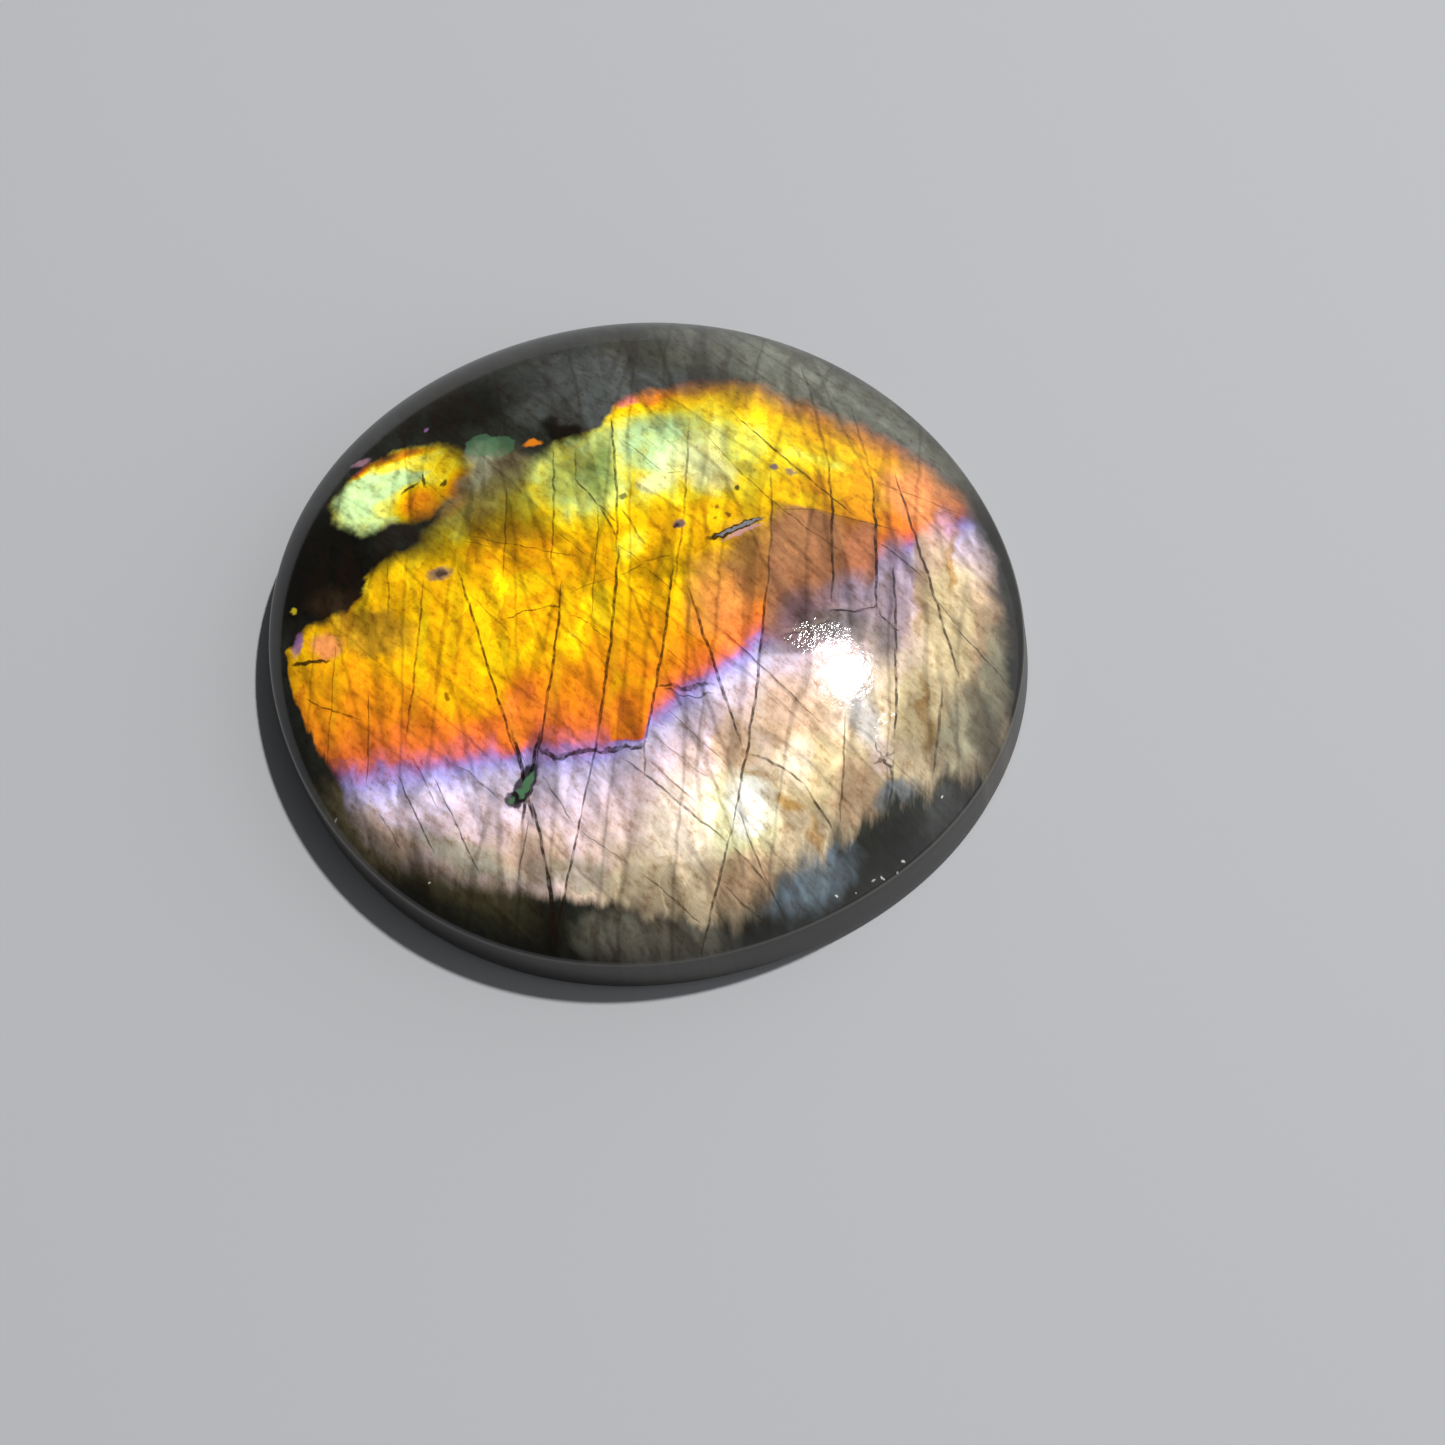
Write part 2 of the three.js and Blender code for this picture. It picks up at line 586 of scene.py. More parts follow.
def plate(bench, place, corners, soft, low=0.0, high=1.0):
    """High inside a convex plate and low outside it. Its corners go round with the inside on their left."""
    inside = None
    for start, end in zip(corners, corners[1:] + corners[:1]):
        depth = bench.dot(place, line_weights(start, end))
        inside = depth if inside is None else bench.math("MINIMUM", inside, depth)
    return bench.ease(inside, -soft / 2, soft / 2, low, high)


def seam(bench, place, start, end, width, bow, low, high, inner=0.25, offset=0.0):
    """High on a line from start to end, and low beside it. Its bow and its offset are to its left."""
    centre = ((start[0] + end[0]) / 2, (start[1] + end[1]) / 2)
    turn = math.degrees(math.atan2(end[1] - start[1], end[0] - start[0]))
    along, across = turned_vectors(centre, (math.dist(start, end) / 2, width), turn, bow + offset)
    return bench.group("seam", inner, low, high, place, along, across, bow / width)


# The flash. Its colours follow one another inwards from its edges, and all of them turn on one number,
# the depth. The depth grows from each straight reach of the edge at a pace of its own and has a value
# at the edge itself. Below 0 are the pale colours past the front. A reach has its inside on its left.

REACHES = (
    ("low front", (-11.0, -10.1), (2.0, -6.9), 0.62, 0.0),
    ("high front", (2.2, -5.7), (13.0, 7.2), 1.0, 0.0),
    ("right top", (13.5, 8.0), (2.0, 12.0), 2.0, 3.2),
    ("left top", (2.0, 12.0), (-3.0, 9.75), 3.8, 2.8),
)
REACH_BLEND = 0.9
DEPTH_RANGE = (-8.0, 12.0)
BANDS = (
    (-7.6, "fawn"),
    (-5.2, "cream"),
    (-3.0, "blush"),
    (-1.7, "pearl"),
    (-0.85, "lavender"),
    (-0.38, "periwinkle"),
    (-0.05, "violet"),
    (0.2, "rose"),
    (0.55, "ember"),
    (1.25, "orange"),
    (2.4, "amber"),
    (3.8, "gold"),
    (5.7, "yellow"),
    (7.1, "lemon"),
    (8.3, "lime"),
    (9.5, "celadon"),
    (11.0, "mint"),
)

# The column right of the middle carries its bands lower than its neighbours: corners in plan places.
LOW_COLUMN = ((0.8, -7.0), (2.25, -6.75), (2.05, -4.0), (0.2, -4.0))
LOW_COLUMN_DEPTH = 1.1

# Patches where the bands stand at a depth of their own: centre, radii, turn, inner share, depth.
PATCHES = (
    ((-8.5, -3.0), (4.5, 3.6), 0, 0.0, 4.6),
    ((-6.0, -5.6), (2.6, 1.9), 10, 0.1, 3.4),
    ((-4.6, -3.6), (2.6, 2.0), 0, 0.1, 4.9),
    ((-3.3, 4.6), (2.2, 2.0), 0, 0.1, 9.2),
    ((0.6, 1.8), (4.6, 3.0), 20, 0.2, 4.5),
    ((9.2, 8.0), (2.2, 1.4), -8, 0.1, 3.2),
    ((-4.6, 0.5), (4.8, 2.4), 4, 0.2, 3.8),
    ((-4.7, -0.6), (1.4, 0.9), 15, 0.1, 6.4),
    ((-1.0, -1.2), (0.8, 1.5), 12, 0.1, 6.3),
    ((-1.8, -3.0), (0.8, 1.1), 10, 0.0, 5.8),
    ((-0.5, 2.1), (0.8, 1.3), -24, 0.2, 6.9),
    ((-3.6, -6.3), (1.1, 2.6), 0, 0.0, 0.9),
    ((1.0, -5.6), (1.0, 1.3), 0, 0.0, 1.0),
    ((-0.9, 7.6), (1.9, 2.1), 0, 0.1, 11.2),
    ((-0.2, 5.5), (1.4, 0.9), 0, 0.0, 8.7),
    ((2.5, 4.3), (1.9, 1.1), 20, 0.1, 4.6),
    ((6.6, 8.45), (2.2, 0.5), -4, 0.1, 6.9),
    ((7.4, 7.1), (2.0, 0.8), 0, 0.0, 3.2),
)
UNEVEN_DEPTH = 3.2

ISLAND = {"centre": (-12.0, 3.75), "radii": (3.8, 2.4), "turn": 24}
ISLAND_DEPTH = 7.4
ISLAND_PATCHES = (
    ((-13.4, 1.6), (2.6, 1.5), 20, 0.1, 10.4),
    ((-13.9, 3.3), (1.9, 1.5), 10, 0.2, 11.6),
    ((-12.3, 4.2), (2.0, 0.8), 28, 0.2, 10.6),
    ((-12.3, 2.6), (1.0, 0.7), 0, 0.0, 8.4),
    ((-12.9, 5.5), (2.4, 0.4), 16, 0.1, 2.4),
    ((-11.3, 5.2), (1.5, 0.7), 10, 0.1, 7.6),
    ((-10.7, 2.8), (1.5, 1.3), 0, 0.1, 2.0),
    ((-9.3, 3.6), (0.9, 1.8), 0, 0.0, 2.8),
    ((-14.8, 4.8), (0.9, 0.7), 30, 0.1, 0.1),
)

# Where the flash ends: for an x, the height of the edge and how far it takes to fade to either side.
EDGE_HEIGHTS = (-17.0, 17.0)
WIDEST_FADE = 4.0
FOOT_SHADE = 0.8
FOOT_SHADE_REACH = 1.2

# The lower edge is jagged along the cleavage: as x goes from 7 to 10.5, the jags grow from 1 to 3.6.
JAG_GROWTH = (7.0, 10.5, 1.0, 3.6)
UPPER_EDGE = (
    (-16.0, -6.0, 0.3),
    (-15.4, -4.4, 0.3),
    (-14.6, -3.6, 0.3),
    (-12.8, -3.0, 0.5),
    (-12.3, -1.2, 0.7),
    (-11.2, -0.4, 1.0),
    (-10.2, 0.6, 1.4),
    (-9.5, 1.6, 1.6),
    (-9.0, 2.6, 2.0),
    (-7.4, 3.4, 2.2),
    (-6.4, 4.4, 1.9),
    (-5.8, 5.6, 1.2),
    (-5.2, 6.7, 0.5),
    (-4.4, 7.0, 0.4),
    (-3.6, 7.9, 0.5),
    (-3.1, 9.4, 0.5),
    (-2.6, 10.0, 0.4),
    (-1.0, 10.7, 0.6),
    (1.0, 11.3, 1.0),
    (3.0, 11.4, 1.2),
    (6.0, 10.9, 1.2),
    (9.0, 10.2, 1.2),
    (11.0, 9.5, 1.3),
    (13.0, 8.2, 1.4),
    (14.5, 6.6, 1.6),
    (15.6, 4.2, 1.6),
    (16.6, 1.6, 1.4),
    (17.6, -2.5, 1.2),
)
LOWER_EDGE = (
    (-16.0, -3.6, 0.15),
    (-15.4, -5.0, 0.15),
    (-14.4, -6.9, 0.15),
    (-13.5, -8.1, 0.18),
    (-12.5, -9.2, 0.2),
    (-11.3, -10.1, 0.4),
    (-10.7, -11.2, 0.9),
    (-9.5, -12.1, 1.1),
    (-8.0, -12.8, 1.1),
    (-6.0, -13.3, 1.0),
    (-4.0, -13.6, 0.9),
    (-2.5, -13.75, 0.7),
    (0.0, -13.85, 0.3),
    (2.0, -13.7, 0.25),
    (4.0, -13.75, 0.25),
    (6.5, -13.55, 0.25),
    (7.6, -13.1, 0.6),
    (8.6, -12.0, 0.8),
    (9.4, -10.9, 0.9),
    (10.6, -9.6, 0.9),
    (11.8, -8.4, 0.7),
    (13.0, -7.0, 0.5),
    (14.0, -5.9, 0.5),
    (15.0, -5.0, 0.7),
    (16.5, -4.0, 0.8),
)


def pulled(bench, place, field, rows):
    """The field, drawn to a value of its own inside each row's oval."""
    for centre, radii, turn, inner, value in rows:
        field = blot(bench, place, centre, radii, turn, inner, field, value)
    return field


def front_depth(bench, place):
    """The depth that the four reaches give."""
    depth = None
    for _, start, end, pace, at_edge in REACHES:
        weights = [pace * weight for weight in line_weights(start, end)]
        weights[2] += at_edge
        reach = bench.dot(place, weights)
        depth = reach if depth is None else bench.math("SMOOTH_MIN", depth, reach, REACH_BLEND)
    return depth


def flash_depth(bench, place, plates):
    """The depth all over the stone. It wavers more the deeper it is, and from plate to plate."""
    column = plate(bench, place, LOW_COLUMN, 0.25, 0.0, LOW_COLUMN_DEPTH)
    main = pulled(bench, place, front_depth(bench, place) + column, PATCHES)
    island = pulled(bench, place, ISLAND_DEPTH, ISLAND_PATCHES)
    on_island = blot(bench, place, inner=0.9, **{**ISLAND, "radii": (4.2, 3.0)})
    depth = main + on_island * (island - main)
    wavering = bench.math("MULTIPLY_ADD", plates - 0.5, 0.45, bench.noise(place, 1.1, 5.0, 0.6)) - 0.5
    return bench.math("MULTIPLY_ADD", wavering, bench.ease(abs(depth), 0.0, 5.0, 0.5, UNEVEN_DEPTH), depth)


def edge_curve(bench, x, rows):
    """The height and the fade of the flash's edge at x."""
    low, high = EDGE_HEIGHTS
    stops = [(at, ((y - low) / (high - low), fade / WIDEST_FADE, 0.0, 1.0)) for at, y, fade in rows]
    read = bench.ramp(x, -HALF_SPAN, HALF_SPAN, stops)
    parts = bench.node("ShaderNodeSeparateColor", None, {0: read})
    fade = Field(bench, parts.socket.node.outputs[1]) * WIDEST_FADE
    return bench.math("MULTIPLY_ADD", parts, high - low, low), fade


def flash_share(bench, place, frayed):
    """1 where the flash shows and 0 where only the feldspar does, and how bright it is near its edges."""
    x = bench.dot(place, (1, 0, 0))
    top, top_fade = edge_curve(bench, bench.dot(frayed, (1, 0, 0)), UPPER_EDGE)
    foot, foot_fade = edge_curve(bench, x, LOWER_EDGE)
    from_top = top - bench.dot(frayed, (0, 1, 0))
    jags = bench.noise(drawn_places(bench, place, CLEAVAGE, 0.25, 1.3), 1.0, 4.0, 0.6) - 0.5
    from_foot = bench.dot(place, (0, 1, 0)) - foot + jags * bench.ease(x, *JAG_GROWTH)
    under_top = bench.ease(from_top / top_fade, -1.0, 1.0)
    over_foot = bench.ease(from_foot / foot_fade, -1.0, 1.0)
    island = blot(bench, frayed, inner=0.4, **ISLAND)
    share = bench.math("MAXIMUM", under_top * over_foot, island)
    return share, bench.math("MAXIMUM", bench.ease(from_foot, 0.0, FOOT_SHADE_REACH, FOOT_SHADE, 1.0), island)


# The columns between the steep cleavages tilt a little, so each is a shade brighter or darker:
# where a column ends across the grain, and the brightness just left and just right of that line.

UPPER_COLUMNS = (
    (-10.6, 1.40, 0.80),
    (-9.75, 0.84, 0.76),
    (-5.9, 0.80, 0.72),
    (-3.65, 0.98, 0.82),
    (-2.6, 1.0, 0.84),
    (-1.65, 1.04, 0.84),
    (-0.75, 0.98, 1.02),
    (2.4, 1.06, 0.92),
    (6.15, 1.0, 0.86),
    (8.95, 1.0, 0.78),
    (10.85, 0.98, 0.80),
    (12.0, 0.98, 0.86),
    (14.2, 1.12, 0.86),
)
LOWER_COLUMNS = (
    (-13.0, 1.34, 1.48),
    (-11.6, 1.42, 1.36),
    (-9.78, 1.26, 1.16),
    (-6.0, 1.30, 1.12),
    (-3.25, 1.28, 0.98),
    (-1.65, 1.26, 0.98),
    (-0.75, 1.28, 1.02),
    (1.65, 1.32, 0.98),
    (6.05, 1.24, 0.98),
    (10.4, 1.20, 0.84),
    (12.35, 0.96, 0.70),
    (14.2, 0.98, 0.78),
)
COLUMN_STEP = 0.05


def column_shade(bench, grain):
    """The brightness of the columns."""
    across = bench.dot(grain, (1, 0, 0))
    shades = []
    for rows in (UPPER_COLUMNS, LOWER_COLUMNS):
        stops = []
        for at, left, right in rows:
            stops.append((at - COLUMN_STEP, (left / 2, left / 2, left / 2, 1.0)))
            stops.append((at + COLUMN_STEP, (right / 2, right / 2, right / 2, 1.0)))
        shades.append(bench.ramp(across, -HALF_SPAN, HALF_SPAN, stops))
    upper_share = bench.ease(bench.dot(grain, (0, 1, 0)), -0.8, 1.2)
    return bench.mix(upper_share, shades[1], shades[0])


# What dims or brightens the flash in patches: centre, radii, turn, inner share, brightness.

SHADES = (
    ((-7.4, 3.6), (3.0, 2.4), 10, 0.15, 0.5),
    ((-9.8, 1.0), (1.8, 1.6), 0, 0.1, 0.6),
    ((-11.4, -2.4), (2.6, 1.7), -10, 0.15, 0.6),
    ((-5.4, 5.0), (1.4, 2.4), 0, 0.1, 0.72),
    ((-3.4, 6.8), (1.2, 1.8), 0, 0.1, 0.72),
    ((-4.7, 2.4), (1.7, 1.4), 0, 0.0, 0.8),
    ((-1.7, 8.8), (1.3, 0.9), 0, 0.0, 0.7),
    ((-10.2, -8.2), (0.9, 1.8), 8, 0.0, 0.84),
    ((1.1, 1.3), (1.6, 1.0), 10, 0.2, 0.5),
    ((0.9, 2.1), (0.9, 1.2), 0, 0.0, 0.7),
    ((4.8, 2.2), (1.6, 2.4), 20, 0.1, 0.66),
    ((3.6, -0.6), (1.6, 1.6), 20, 0.1, 0.8),
    ((1.3, -1.0), (1.0, 1.6), 8, 0.0, 0.8),
    ((0.8, 6.9), (2.4, 1.8), 0, 0.0, 1.2),
    ((10.9, 1.6), (1.4, 3.2), 10, 0.1, 0.8),
    ((-12.4, 3.7), (3.4, 2.2), 24, 0.2, 1.26),
    ((-4.2, -12.0), (4.0, 1.4), -8, 0.0, 0.88),
    ((3.2, -11.2), (3.0, 1.4), 0, 0.0, 1.12),
    ((16.4, 0.4), (1.4, 5.4), 4, 0.1, 0.66),
    ((16.2, -2.0), (0.9, 2.4), 27, 0.2, 0.4),
    ((14.2, -2.6), (1.8, 2.6), 0, 0.1, 0.62),
    ((9.0, -12.0), (1.6, 1.2), 40, 0.1, 0.55),
    ((11.6, -7.2), (2.0, 1.8), 40, 0.2, 0.6),
    ((4.2, -5.4), (1.6, 1.2), 40, 0.1, 0.74),
    ((6.2, -6.2), (1.1, 1.6), 10, 0.1, 0.95),
    ((-8.4, -11.0), (2.2, 1.3), -24, 0.0, 1.25),
    ((-0.4, -12.6), (2.8, 1.2), 0, 0.1, 0.7),
    ((-8.4, -12.6), (2.4, 0.8), -28, 0.0, 0.85),
    # Brightens round the white-hot spot, partly a painted highlight.
    ((7.2, -8.4), (2.6, 2.6), 0, 0.0, 1.3),
    ((4.6, -9.6), (3.0, 2.4), 0, 0.0, 1.25),
    ((-7.0, -10.6), (2.6, 1.2), -10, 0.0, 1.3),
)
DIM_PLATE = ((2.4, -13.9), (8.4, -13.3), (10.2, -9.9), (2.7, -12.1))
DIM_PLATE_BRIGHTNESS = 0.8

# Patches of another colour over the flash: colour, centre, radii, turn, inner share, strength.

FLASH_TINTS = (
    ("fern", (-2.9, 5.8), (0.9, 2.2), 12, 0.1, 0.75),
    ("fern", (-4.4, 4.6), (1.2, 1.8), 0, 0.0, 0.45),
    ("aqua", (-0.1, 6.3), (0.6, 0.5), 0, 0.0, 0.5),
    ("ice", (-0.3, 5.5), (1.1, 0.7), 0, 0.0, 0.75),
    ("ice", (2.3, 6.4), (1.2, 1.2), 0, 0.0, 0.55),
    ("ice", (1.5, 8.0), (1.2, 1.5), 20, 0.0, 0.35),
    ("rose", (-2.7, 9.9), (0.6, 0.45), 30, 0.1, 0.9),
    ("orange", (-1.6, 10.3), (1.2, 0.5), 16, 0.1, 0.9),
    ("salmon", (11.3, 8.1), (2.2, 1.9), -20, 0.2, 0.85),
    ("orchid", (12.7, 6.9), (0.8, 1.5), 10, 0.1, 0.8),
    ("ice", (1.1, 6.9), (1.9, 1.5), 0, 0.0, 0.6),
    ("salmon", (4.0, 0.4), (1.9, 2.8), 20, 0.0, 0.6),
    ("copper", (5.0, 2.6), (1.6, 2.6), 20, 0.1, 0.7),
    ("mauve", (11.4, 1.3), (1.0, 2.2), 14, 0.1, 0.8),
    ("mauve", (11.2, 3.6), (1.3, 2.4), 14, 0.1, 0.8),
    ("tan", (12.8, 4.2), (1.1, 3.2), 12, 0.2, 0.85),
    ("sand", (14.2, 2.2), (1.9, 4.2), 14, 0.2, 0.9),
    ("tan", (15.8, 2.0), (1.1, 3.8), 14, 0.2, 0.7),
    ("reed", (16.4, 0.4), (0.9, 3.4), 6, 0.1, 0.8),
    ("ochre", (13.4, 5.0), (0.3, 2.2), 8, 0.0, 0.75),
    ("ochre", (12.6, 2.0), (0.3, 1.8), 8, 0.0, 0.45),
    ("reed", (15.4, -2.6), (1.4, 2.2), 0, 0.1, 0.6),
    ("sand", (13.4, -2.2), (1.4, 2.4), 0, 0.1, 0.8),
    ("olive", (14.2, -3.4), (0.5, 1.3), 8, 0.0, 0.7),
    ("ochre", (13.6, -1.9), (0.25, 1.4), 10, 0.0, 0.7),
    ("tan", (8.2, -4.2), (2.4, 2.2), 0, 0.2, 0.75),
    ("tan", (6.1, -6.2), (1.2, 1.7), 10, 0.2, 0.8),
    ("sand", (9.9, -6.4), (2.2, 2.2), 20, 0.2, 0.8),
    ("silk", (4.8, -9.8), (2.6, 2.4), 0, 0.1, 0.6),
    ("silk", (8.9, -6.2), (1.0, 1.5), 0, 0.0, 0.6),
    ("ice", (6.9, -9.2), (2.2, 2.4), 12, 0.0, 0.6),
    # The white-hot spot: the flash's brightest patch, painted burnt out to white like a highlight.
    ("white_flash_and_glint", (7.3, -8.4), (1.3, 1.8), 12, 0.1, 1.0),
    ("ochre", (8.9, -7.9), (1.0, 0.3), -12, 0.0, 0.8),
    ("ochre", (10.4, -9.0), (0.35, 1.1), 36, 0.0, 0.6),
    ("ochre", (7.3, -7.15), (0.7, 0.3), 0, 0.0, 0.6),
    ("tan", (11.6, -6.8), (1.4, 1.8), 0, 0.2, 0.85),
    ("tan", (7.6, -11.4), (2.0, 1.4), 30, 0.2, 0.8),
    ("steel", (13.4, -6.2), (1.6, 0.8), 40, 0.1, 0.85),
    ("olive", (-11.2, -3.7), (2.8, 1.4), -8, 0.2, 0.8),
    ("olive", (-6.8, 2.2), (2.8, 1.3), 0, 0.1, 0.6),
    ("salmon", (-13.6, -4.4), (1.1, 0.7), 0, 0.1, 0.85),
    ("mauve", (-11.4, 1.3), (0.8, 0.6), 0, 0.1, 0.8),
    ("reed", (-4.4, -12.9), (4.0, 0.8), -10, 0.1, 0.7),
    ("tan", (-1.6, -12.4), (2.4, 1.2), 0, 0.1, 0.6),
    ("tan", (-8.4, -12.4), (2.6, 0.8), -26, 0.1, 0.6),
    ("reed", (0.4, -12.9), (2.6, 0.8), 0, 0.1, 0.5),
)

# The feldspar's darker, hazier and bluer zones, in the same form. The grey veil over the far side is partly the
# stone's own haze and partly a painted reflection of the bright sky.

BODY_TINTS = (
    ("slate", (-4.0, 10.4), (6.0, 3.4), 10, 0.1, 0.9),
    ("moss", (-2.6, 13.0), (3.4, 1.5), -10, 0.0, 0.6),
    # Painted sky reflection, with some real haze: the veil and the smoke row after it grey the far side of the
    # dome.
    ("veil_and_sky_reflection", (5.5, 14.2), (12.0, 4.6), -18, 0.05, 0.9),
    ("smoke", (12.2, 10.2), (3.6, 2.0), -38, 0.0, 0.3),
    ("soot", (-15.0, -0.4), (3.6, 4.2), 0, 0.2, 0.95),
    ("soot", (-11.6, -0.6), (2.4, 1.4), 20, 0.1, 0.7),
    ("umber", (-13.8, -2.3), (1.8, 1.0), 0, 0.0, 0.9),
    ("soot", (-5.3, 7.6), (1.5, 0.7), -24, 0.2, 0.95),
    ("soot", (-10.0, 8.6), (4.5, 1.8), 30, 0.0, 0.6),
    ("loam", (-7.8, 3.8), (2.6, 3.2), 0, 0.2, 1.0),
    ("reed", (-8.7, 5.2), (1.1, 1.6), 10, 0.1, 0.7),
    ("loam", (-9.8, -12.2), (3.8, 1.6), -32, 0.2, 0.85),
    ("loam", (-4.6, -14.0), (3.6, 1.0), -12, 0.1, 0.6),
    ("moss", (-3.6, -14.6), (6.0, 1.4), -8, 0.0, 0.7),
    ("soot", (-0.2, -15.0), (1.2, 1.6), 0, 0.0, 0.8),
    ("smoke", (4.4, -14.6), (4.0, 1.6), 8, 0.3, 1.0),
    ("steel", (10.3, -10.7), (3.0, 1.5), 42, 0.1, 0.8),
    ("soot", (13.2, -8.6), (2.4, 1.2), 44, 0.0, 0.6),
    ("slate", (15.4, -6.2), (0.9, 1.6), -20, 0.0, 0.8),
)


def tinted(bench, place, colour, rows, colours):
    """The colour, tinted in each row's oval."""
    for name, centre, radii, turn, inner, strength in rows:
        form, first, second = oval_vectors(centre, radii, turn)
        colour = bench.group(form + " tint", inner, strength, colour, colours[name], place, first, second)
    return colour


# The copper block: a plate between two steep cleavages that flashes away from the eye, in grain places.

COPPER_PLATE = ((6.15, 5.75), (6.1, -1.9), (8.2, -1.2), (10.3, 0.9), (10.9, 3.4), (10.9, 5.85))
COPPER_TINTS = (
    ("copper", (7.0, 2.6), (2.6, 4.4), 0, 0.4, 0.85),
    ("russet", (9.7, 4.2), (1.2, 2.2), 8, 0.3, 0.85),
    ("mauve", (9.6, 2.0), (1.4, 1.6), 24, 0.0, 0.7),
)
DARKENED = (
    ("mauve", (9.4, 1.4), (1.8, 1.6), 14, 0.0, 0.5),
    ("plum", (7.7, 0.3), (1.6, 2.0), 10, 0.0, 0.85),
    ("smoke", (9.3, 0.3), (2.3, 1.1), 14, 0.1, 0.6),
    ("smoke", (11.4, 0.0), (0.9, 1.6), 0, 0.0, 0.5),
    # Painted reflection: the bluish-white tail of the key light's highlight.
    ("haze", (11.2, -3.4), (0.9, 2.0), 34, 0.0, 0.5),
    ("mauve", (12.4, -4.9), (0.6, 1.0), 0, 0.2, 0.45),
)


def copper_block(bench, place, grain, colour, colours):
    """The colour, with the copper block and the darkened zone below it."""
    block = tinted(bench, place, bench.dimmed(colour, 0.54), COPPER_TINTS, colours)
    colour = bench.mix(plate(bench, grain, COPPER_PLATE, 0.25), colour, block)
    return tinted(bench, place, colour, DARKENED, colours)


# Small things in the stone, in the same form. Where one lies in another, the inner one comes later. The white
# specks near the rim are painted glints.

INCLUSIONS = (
    ("plum", (4.75, 7.55), (0.26, 0.22), 0, 0.1, 0.9),
    ("plum", (5.5, 7.5), (0.32, 0.26), 0, 0.1, 0.8),
    ("crack", (3.4, 6.1), (0.2, 0.17), 0, 0.1, 0.9),
    ("bronze", (3.45, 7.2), (0.6, 0.5), 0, 0.0, 0.55),
    ("crack", (2.8, 4.85), (0.15, 0.15), 0, 0.1, 0.7),
    ("crack", (3.35, 4.55), (0.16, 0.16), 0, 0.1, 0.7),
    ("crack", (2.9, 4.25), (0.13, 0.13), 0, 0.1, 0.6),
    ("plum", (1.35, 3.6), (0.36, 0.3), 0, 0.1, 0.95),
    ("crack", (1.25, 3.5), (0.24, 0.14), 30, 0.1, 0.8),
    ("crack", (-1.5, 4.5), (0.28, 0.18), 30, 0.1, 0.75),
    ("plum", (-8.8, -0.6), (0.75, 0.42), 20, 0.1, 0.85),
    ("crack", (-8.7, -0.55), (0.4, 0.2), 20, 0.1, 0.7),
    ("crack", (-6.9, -6.3), (0.26, 0.18), -30, 0.1, 0.75),
    ("crack", (-11.6, 3.7), (0.55, 0.11), 45, 0.2, 0.85),
    ("crack", (-11.05, 4.2), (0.55, 0.1), -65, 0.2, 0.85),
    ("crack", (-10.0, 4.1), (0.3, 0.16), 70, 0.1, 0.85),
    ("soot", (-14.1, -5.15), (1.2, 0.14), 2, 0.3, 0.9),
    ("lemon", (-15.7, -2.6), (0.3, 0.22), -20, 0.2, 0.8),
    ("orange", (-6.4, 6.7), (0.55, 0.28), 20, 0.2, 0.9),
    ("violet", (-11.85, 7.1), (0.16, 0.2), 0, 0.1, 0.6),
    ("violet", (-15.0, -4.3), (0.34, 0.75), 5, 0.1, 0.85),
    ("orchid", (-14.6, 5.2), (0.6, 0.3), 20, 0.0, 0.6),
    ("malachite", (-8.8, 6.3), (0.9, 0.7), 10, 0.7, 0.5),
    ("malachite", (-8.0, 6.35), (0.9, 0.65), 10, 0.7, 0.45),
    ("soot", (-2.5, -9.6), (0.5, 1.1), -16, 0.55, 0.9),
    ("soot", (-2.85, -10.35), (0.5, 0.4), 0, 0.5, 0.85),
    ("malachite", (-2.4, -9.5), (0.24, 0.62), -22, 0.4, 0.9),
    ("malachite", (-2.62, -10.0), (0.2, 0.3), 30, 0.4, 0.9),
    ("malachite", (-2.95, -10.4), (0.22, 0.15), 30, 0.4, 0.85),
    ("orchid", (4.2, 3.85), (1.2, 0.16), 38.5, 0.1, 0.55),
    ("crack", (3.85, 3.92), (1.6, 0.2), 38.5, 0.5, 0.95),
    ("silver", (4.0, 4.05), (1.3, 0.11), 38.5, 0.4, 0.85),
    # Painted glints: white specks where the chipped rim catches the light.
    ("white_flash_and_glint", (14.05, -8.7), (0.1, 0.06), 40, 0.2, 0.9),
    ("white_flash_and_glint", (13.8, -9.2), (0.06, 0.05), 0, 0.2, 0.8),
    ("white_flash_and_glint", (13.3, -9.7), (0.09, 0.06), 0, 0.2, 0.9),
    ("white_flash_and_glint", (13.0, -9.9), (0.06, 0.05), 0, 0.2, 0.7),
    ("white_flash_and_glint", (12.4, -10.5), (0.06, 0.05), 0, 0.2, 0.7),
    ("white_flash_and_glint", (11.6, -11.0), (0.1, 0.06), 40, 0.2, 0.9),
    ("white_flash_and_glint", (15.2, -5.6), (0.09, 0.06), 60, 0.2, 0.8),
    ("white_flash_and_glint", (-6.05, -14.15), (0.1, 0.06), 0, 0.2, 0.7),
    ("white_flash_and_glint", (-11.2, -11.9), (0.1, 0.07), 30, 0.2, 0.8),
)


# Cleavage lines: start, end, half width, darkness, bow and, for the ones that show it, the brightness
# of the lit edge beside them. The steep ones follow the cleavage's curve.

